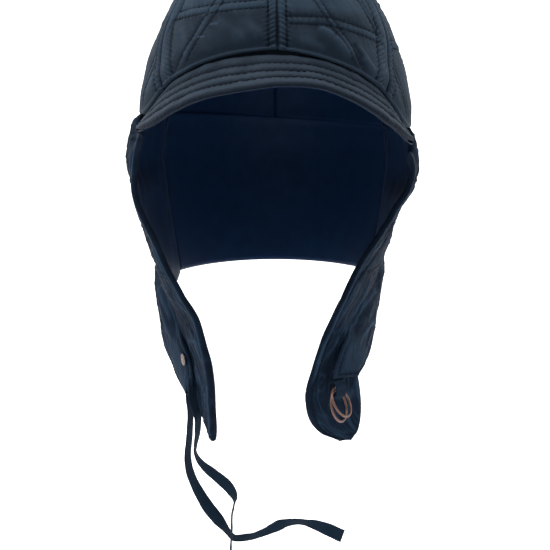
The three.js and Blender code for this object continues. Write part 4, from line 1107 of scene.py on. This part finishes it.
def makeRing(name, top, swing):
    # A round wire bent into a ring: a circle of circles, hung from the tab and swung out by an angle
    radius = (ring["outer"] - ring["wire"]) / 2
    across, facing = levelWays(ring["turn"])
    down = facing * math.sin(math.radians(swing)) + np.array([0, 0, -math.cos(math.radians(swing))])
    axis = np.cross(across, down)
    lean = math.radians(ring["lean"])
    centre = np.array(tab["centre"], float) + [0, 0, top]
    centre = centre + down * radius * math.cos(lean) + across * radius * math.sin(lean)
    turn, around = np.meshgrid(np.linspace(0, 2 * np.pi, 96, endpoint=False),
                               np.linspace(0, 2 * np.pi, 16, endpoint=False), indexing="ij")
    joint = bell((turn - 4.2) * radius, 0.22)[..., None]  # where the wire's two ends are brazed together
    spoke = np.cos(turn)[..., None] * across + np.sin(turn)[..., None] * down
    wire = ring["wire"] / 2 * (1 - 0.14 * joint)
    rings = centre + spoke * (radius + wire * np.cos(around)[..., None])
    rings = rings + axis * wire * np.sin(around)[..., None]
    dressed(tube(name + "_wire", rings, [copper], closed=True), "copper", name)


makeRingTab()
for ringName, (top, swing) in ring["tops"].items():
    makeRing(ringName, top, swing)

rivet = {"radius": 3.7, "height": 1.4, "across": 0.145, "along": 0.7, "turned": (-0.42, 0.14, 0)}


def makeRivet():
    # A stamped cap: a profile turned about the tongue's normal, with a rolled rim and a shallow dished top
    one = np.array([[rivet["across"]]]), np.array([[rivet["along"]]])
    seat = tongueSurface("right", *one)[0, 0]
    normal = unit(tongueNormals("right", *one)[0, 0] + rivet["turned"])  # the strap's edge is drawn in there
    side = unit(np.cross(normal, [0, 0, 1.0]))
    up = np.cross(normal, side)
    r, h = rivet["radius"], rivet["height"]
    rim = np.linspace(0, np.pi, 13)
    profile = [(0.02, 0), (r * 0.5, 0), (r * 0.86, 0)]
    profile += [(r * 0.86 + 0.14 * r * math.sin(a), h * 0.36 * (1 - math.cos(a))) for a in rim[1:-1]]
    profile += [(r * 0.84, h * 0.72), (r * 0.74, h * 0.66), (r * 0.62, h * 0.78), (r * 0.4, h * 0.93),
                (r * 0.2, h * 0.99), (0.02, h)]
    out, height = np.array(profile).T
    turn = np.linspace(0, 2 * np.pi, 48, endpoint=False)
    rings = (seat + normal * (gap + height)[:, None, None]
             + (side * np.cos(turn)[:, None] + up * np.sin(turn)[:, None]) * out[:, None, None])
    dressed(tube("rivet_cap", rings, [nickel]), "rivet_metal", "rivet")


makeRivet()
print("straps and metal done")


# Stitches

stitch = {"length": 2.0, "space": 1.1, "radius": 0.4, "sink": 0.15}


def crossings(field, value, axis):  # where a grid's field takes a value, in order along the other axis
    f = np.moveaxis(field - value, axis, -1)
    line, place = np.nonzero(f[:, :-1] * f[:, 1:] < 0)
    share = f[line, place] / (f[line, place] - f[line, place + 1])
    found = np.stack([line.astype(float), place + share], -1)
    return found if axis == 1 else found[:, ::-1]


def stitchLine(points, normal):  # stitches laid end to end along a line: middles, directions and normals
    run = np.concatenate([[0], np.cumsum(np.linalg.norm(np.diff(points, axis=0), axis=1))])
    step = stitch["length"] + stitch["space"]
    middles = np.arange(step / 2, run[-1] - step / 2, step)
    at = lambda values, where: np.stack([np.interp(where, run, values[:, k]) for k in range(3)], -1)
    way = unit(at(points, middles + 0.8) - at(points, middles - 0.8))
    return at(points, middles), way, unit(at(normal, middles))


def stitchesFrom(found, outer, outward, keep):  # stitched lines through crossings, where keep is true
    if len(found) < 8:
        return []
    points, normal = sampled(outer, found), sampled(normals(outer, outward), found)
    kept = sampled(keep.astype(float), found) > 0.5
    marks = np.flatnonzero(np.diff(kept.astype(int)) != 0) + 1
    groups = [g for g in np.split(np.arange(len(found)), marks) if len(g) > 7 and kept[g[0]]]
    return [stitchLine(points[g], normal[g]) for g in groups]


def doubleRows(fields, gaps, rows, outer, outward, keep, mirrored=False):
    # Stitches along both sides of each level and slanting double row; a mirrored slanting row is two lines
    lines = []
    for axis, (field, between) in enumerate(zip(fields, gaps)):
        for value in (row * quilt["pitch"] + half * between for row in rows for half in (-0.5, 0.5)):
            found = crossings(field, value, axis)
            first = found[:, 1] < (outer.shape[1] - 1) / 2
            for part in (found[first], found[~first]) if mirrored and axis else (found,):
                lines += stitchesFrom(part, outer, outward, keep)
    return lines


def makeStitches(name, lines, slotName):
    # Every stitch is the same small closed bead of four rings of six points, stretched along its line
    lines = [line for line in lines if len(line[0])]
    middle, way, normal = (np.concatenate([line[k] for line in lines]) for k in range(3))
    side = unit(np.cross(way, normal))
    lengths = np.array([-0.5, -0.36, 0.36, 0.5]) * stitch["length"]
    widths = np.array([0.35, 1, 1, 0.35]) * stitch["radius"]
    dips = np.array([-1.2, 0, 0, -1.2]) * stitch["radius"] - stitch["sink"]
    turn = np.linspace(0, 2 * np.pi, 6, endpoint=False)
    bead = (middle[:, None, None] + way[:, None, None] * lengths[:, None, None]
            + side[:, None, None] * (widths[:, None] * np.cos(turn))[None, ..., None]
            + normal[:, None, None] * (dips[:, None] + widths[:, None] * np.sin(turn))[None, ..., None])
    count = len(middle)
    points = bead.reshape(-1, 3)
    at = np.arange(24).reshape(4, 6)
    quads = np.stack([at[:-1], np.roll(at, -1, 1)[:-1], np.roll(at, -1, 1)[1:], at[1:]], -1).reshape(-1, 4)
    caps = np.array([at[0][[3, 2, 1, 0]], at[0][[5, 4, 3, 0]], at[3][[0, 1, 2, 3]], at[3][[0, 3, 4, 5]]])
    one = np.concatenate([quads, caps])
    faces = (one[None] + 24 * np.arange(count)[:, None, None]).reshape(-1, 4).tolist()
    if volumeOf(points, faces) < 0:
        faces = [face[::-1] for face in faces]
    return dressed(meshObject(name, points, faces, [thread]), slotName)


def quiltGaps(side):
    return quilt["levelGap"], quilt["slantGap"][side]


def crownStitches():
    lines, up = [], [0, 0, 1]
    for piece in panels.values():
        fields = quiltFields(piece["across"], piece["climb"], piece["side"])
        keep = (piece["fromSeam"] > piece["stitchAt"]) & (piece["fromEdge"] > 5) & (piece["share"] < 0.88)
        lines += doubleRows(fields, quiltGaps(piece["side"]), range(9), piece["outer"], up, keep)
        keep = (piece["fromEdge"] > 3) & (piece["share"] < 0.9)
        fromStart = piece["s"] * piece["span"]
        for field, offset in zip((fromStart, piece["span"] - fromStart), piece["topStitches"]):
            lines += stitchesFrom(crossings(field, offset, 1), piece["outer"], up, keep)
    return lines


def peakStitches():
    keep = np.abs(peakAngle) < 76
    rows = (crossings(peakPhase, rib - 0.02, 0) for rib in range(1, peak["ribs"]))
    return [line for found in rows for line in stitchesFrom(found, peakOuter, [0, -1, 0.3], keep)]


def flapStitches():
    # Along the quilting of the upper half, the front strip, the free edges of the straps and the curtain
    lines = []
    for side, piece in flaps.items():
        outward = [signs[side], -0.3, 0]
        z, fromFront, outer = piece["z"], piece["fromFront"], piece["outer"]
        keep = (z > flap["quiltTo"] + 12) & (fromFront > 6) & (piece["toRear"] > 5) & (piece["down"] > 9)
        gaps = flap["rows"], flap["rows"]
        lines += doubleRows(flapFields(fromFront, z), gaps, range(-5, 8), outer, outward, keep)
        found = crossings(fromFront, flap["stripStitch"], 1)
        lines += stitchesFrom(found, outer, outward, piece["down"] > 6)
        strap = tongues[side]
        across, width, toEnd = strap["across"], strap["width"], strap["toEnd"]
        keep = (strap["share"] > tongue["slits"][side] + 0.04) & (toEnd > tongue["stitchAt"])
        for field in (across, width - across):
            lines += stitchesFrom(crossings(field, tongue["stitchAt"], 1), strap["outer"], outward, keep)
        keep = np.minimum(across, width - across) > tongue["stitchAt"]
        lines += stitchesFrom(crossings(toEnd, tongue["stitchAt"], 0), strap["outer"], outward, keep)
    outer, fromEdge = curtainPiece["outer"], curtainPiece["fromEdge"]
    fields = quiltFields(curtainPiece["across"], curtainPiece["climb"], 1)
    lines += doubleRows(fields, quiltGaps(1), range(9), outer, [0, 1, 0], fromEdge > 6, mirrored=True)
    found = crossings(fromEdge, curtain["hemStitch"], 0)
    hem = found[found[:, 0] > outer.shape[0] / 2]
    lines += stitchesFrom(hem, outer, [0, 1, 0], fromEdge > 0)
    return lines


makeStitches("crown_stitches", crownStitches(), "cloth")
makeStitches("flap_stitches", flapStitches(), "skirt_cloth")
makeStitches("peak_stitches", peakStitches(), "cloth")
print("stitches done")


# Studio

studio = {"floor": -0.45, "glow": 0.55, "sky": 0.45, "lamps": {  # each lamp's place, size and power
    "key_lamp": ((-0.25, -0.5, 1.7), 1.2, 40), "left_lamp": ((-1.4, 0.2, 0.6), 1.2, 12),
    "right_lamp": ((1.4, 0.2, 0.6), 1.2, 7), "back_lamp": ((0, 1.2, 1.6), 1.4, 14),
}}


def makeStudio():
    # A plain pale floor that runs up into the backdrop by a quarter circle, and soft lamps above and beside
    bend = np.linspace(0.1, np.pi / 2, 16)
    depth = np.concatenate([np.linspace(-2.5, 1.2, 12), 1.2 + np.sin(bend), np.full(6, 2.2)])
    height = studio["floor"] + np.concatenate([np.zeros(12), 1 - np.cos(bend), np.linspace(1.2, 4, 6)])
    points = np.stack(np.broadcast_arrays(np.array([-4.0, 4.0]), depth[:, None], height[:, None]), -1) / mm
    paper, _, _ = newMaterial("pale_paper", {
        "Base Color": fromHex("#f7f7f7"), "Roughness": 0.9, "Specular IOR Level": 0.1,
        "Emission Color": fromHex("#ffffff"), "Emission Strength": studio["glow"],
    })
    faces = gridFaces(len(depth), 2)[:, ::-1].tolist()
    meshObject("floor", points.reshape(-1, 3), faces, [paper])
    for name, (place, size, power) in studio["lamps"].items():
        data = bpy.data.lights.new(name, "AREA")
        data.shape, data.size, data.energy = "DISK", size, power
        lamp = placed(name, data)
        lamp.location = place
        away = np.array(place) - [0, 0, -0.05]
        flat = math.hypot(away[0], away[1])
        lamp.rotation_euler = (math.atan2(flat, away[2]), 0, math.atan2(away[1], away[0]) + math.pi / 2)
    world = bpy.data.worlds.new("studio")
    world.use_nodes = True
    sky = world.node_tree.nodes["Background"]
    sky.inputs["Color"].default_value = fromHex("#ffffff")
    sky.inputs["Strength"].default_value = studio["sky"]
    bpy.context.scene.world = world
    bpy.context.scene.view_settings.view_transform = "Standard"


makeStudio()
print("studio done")
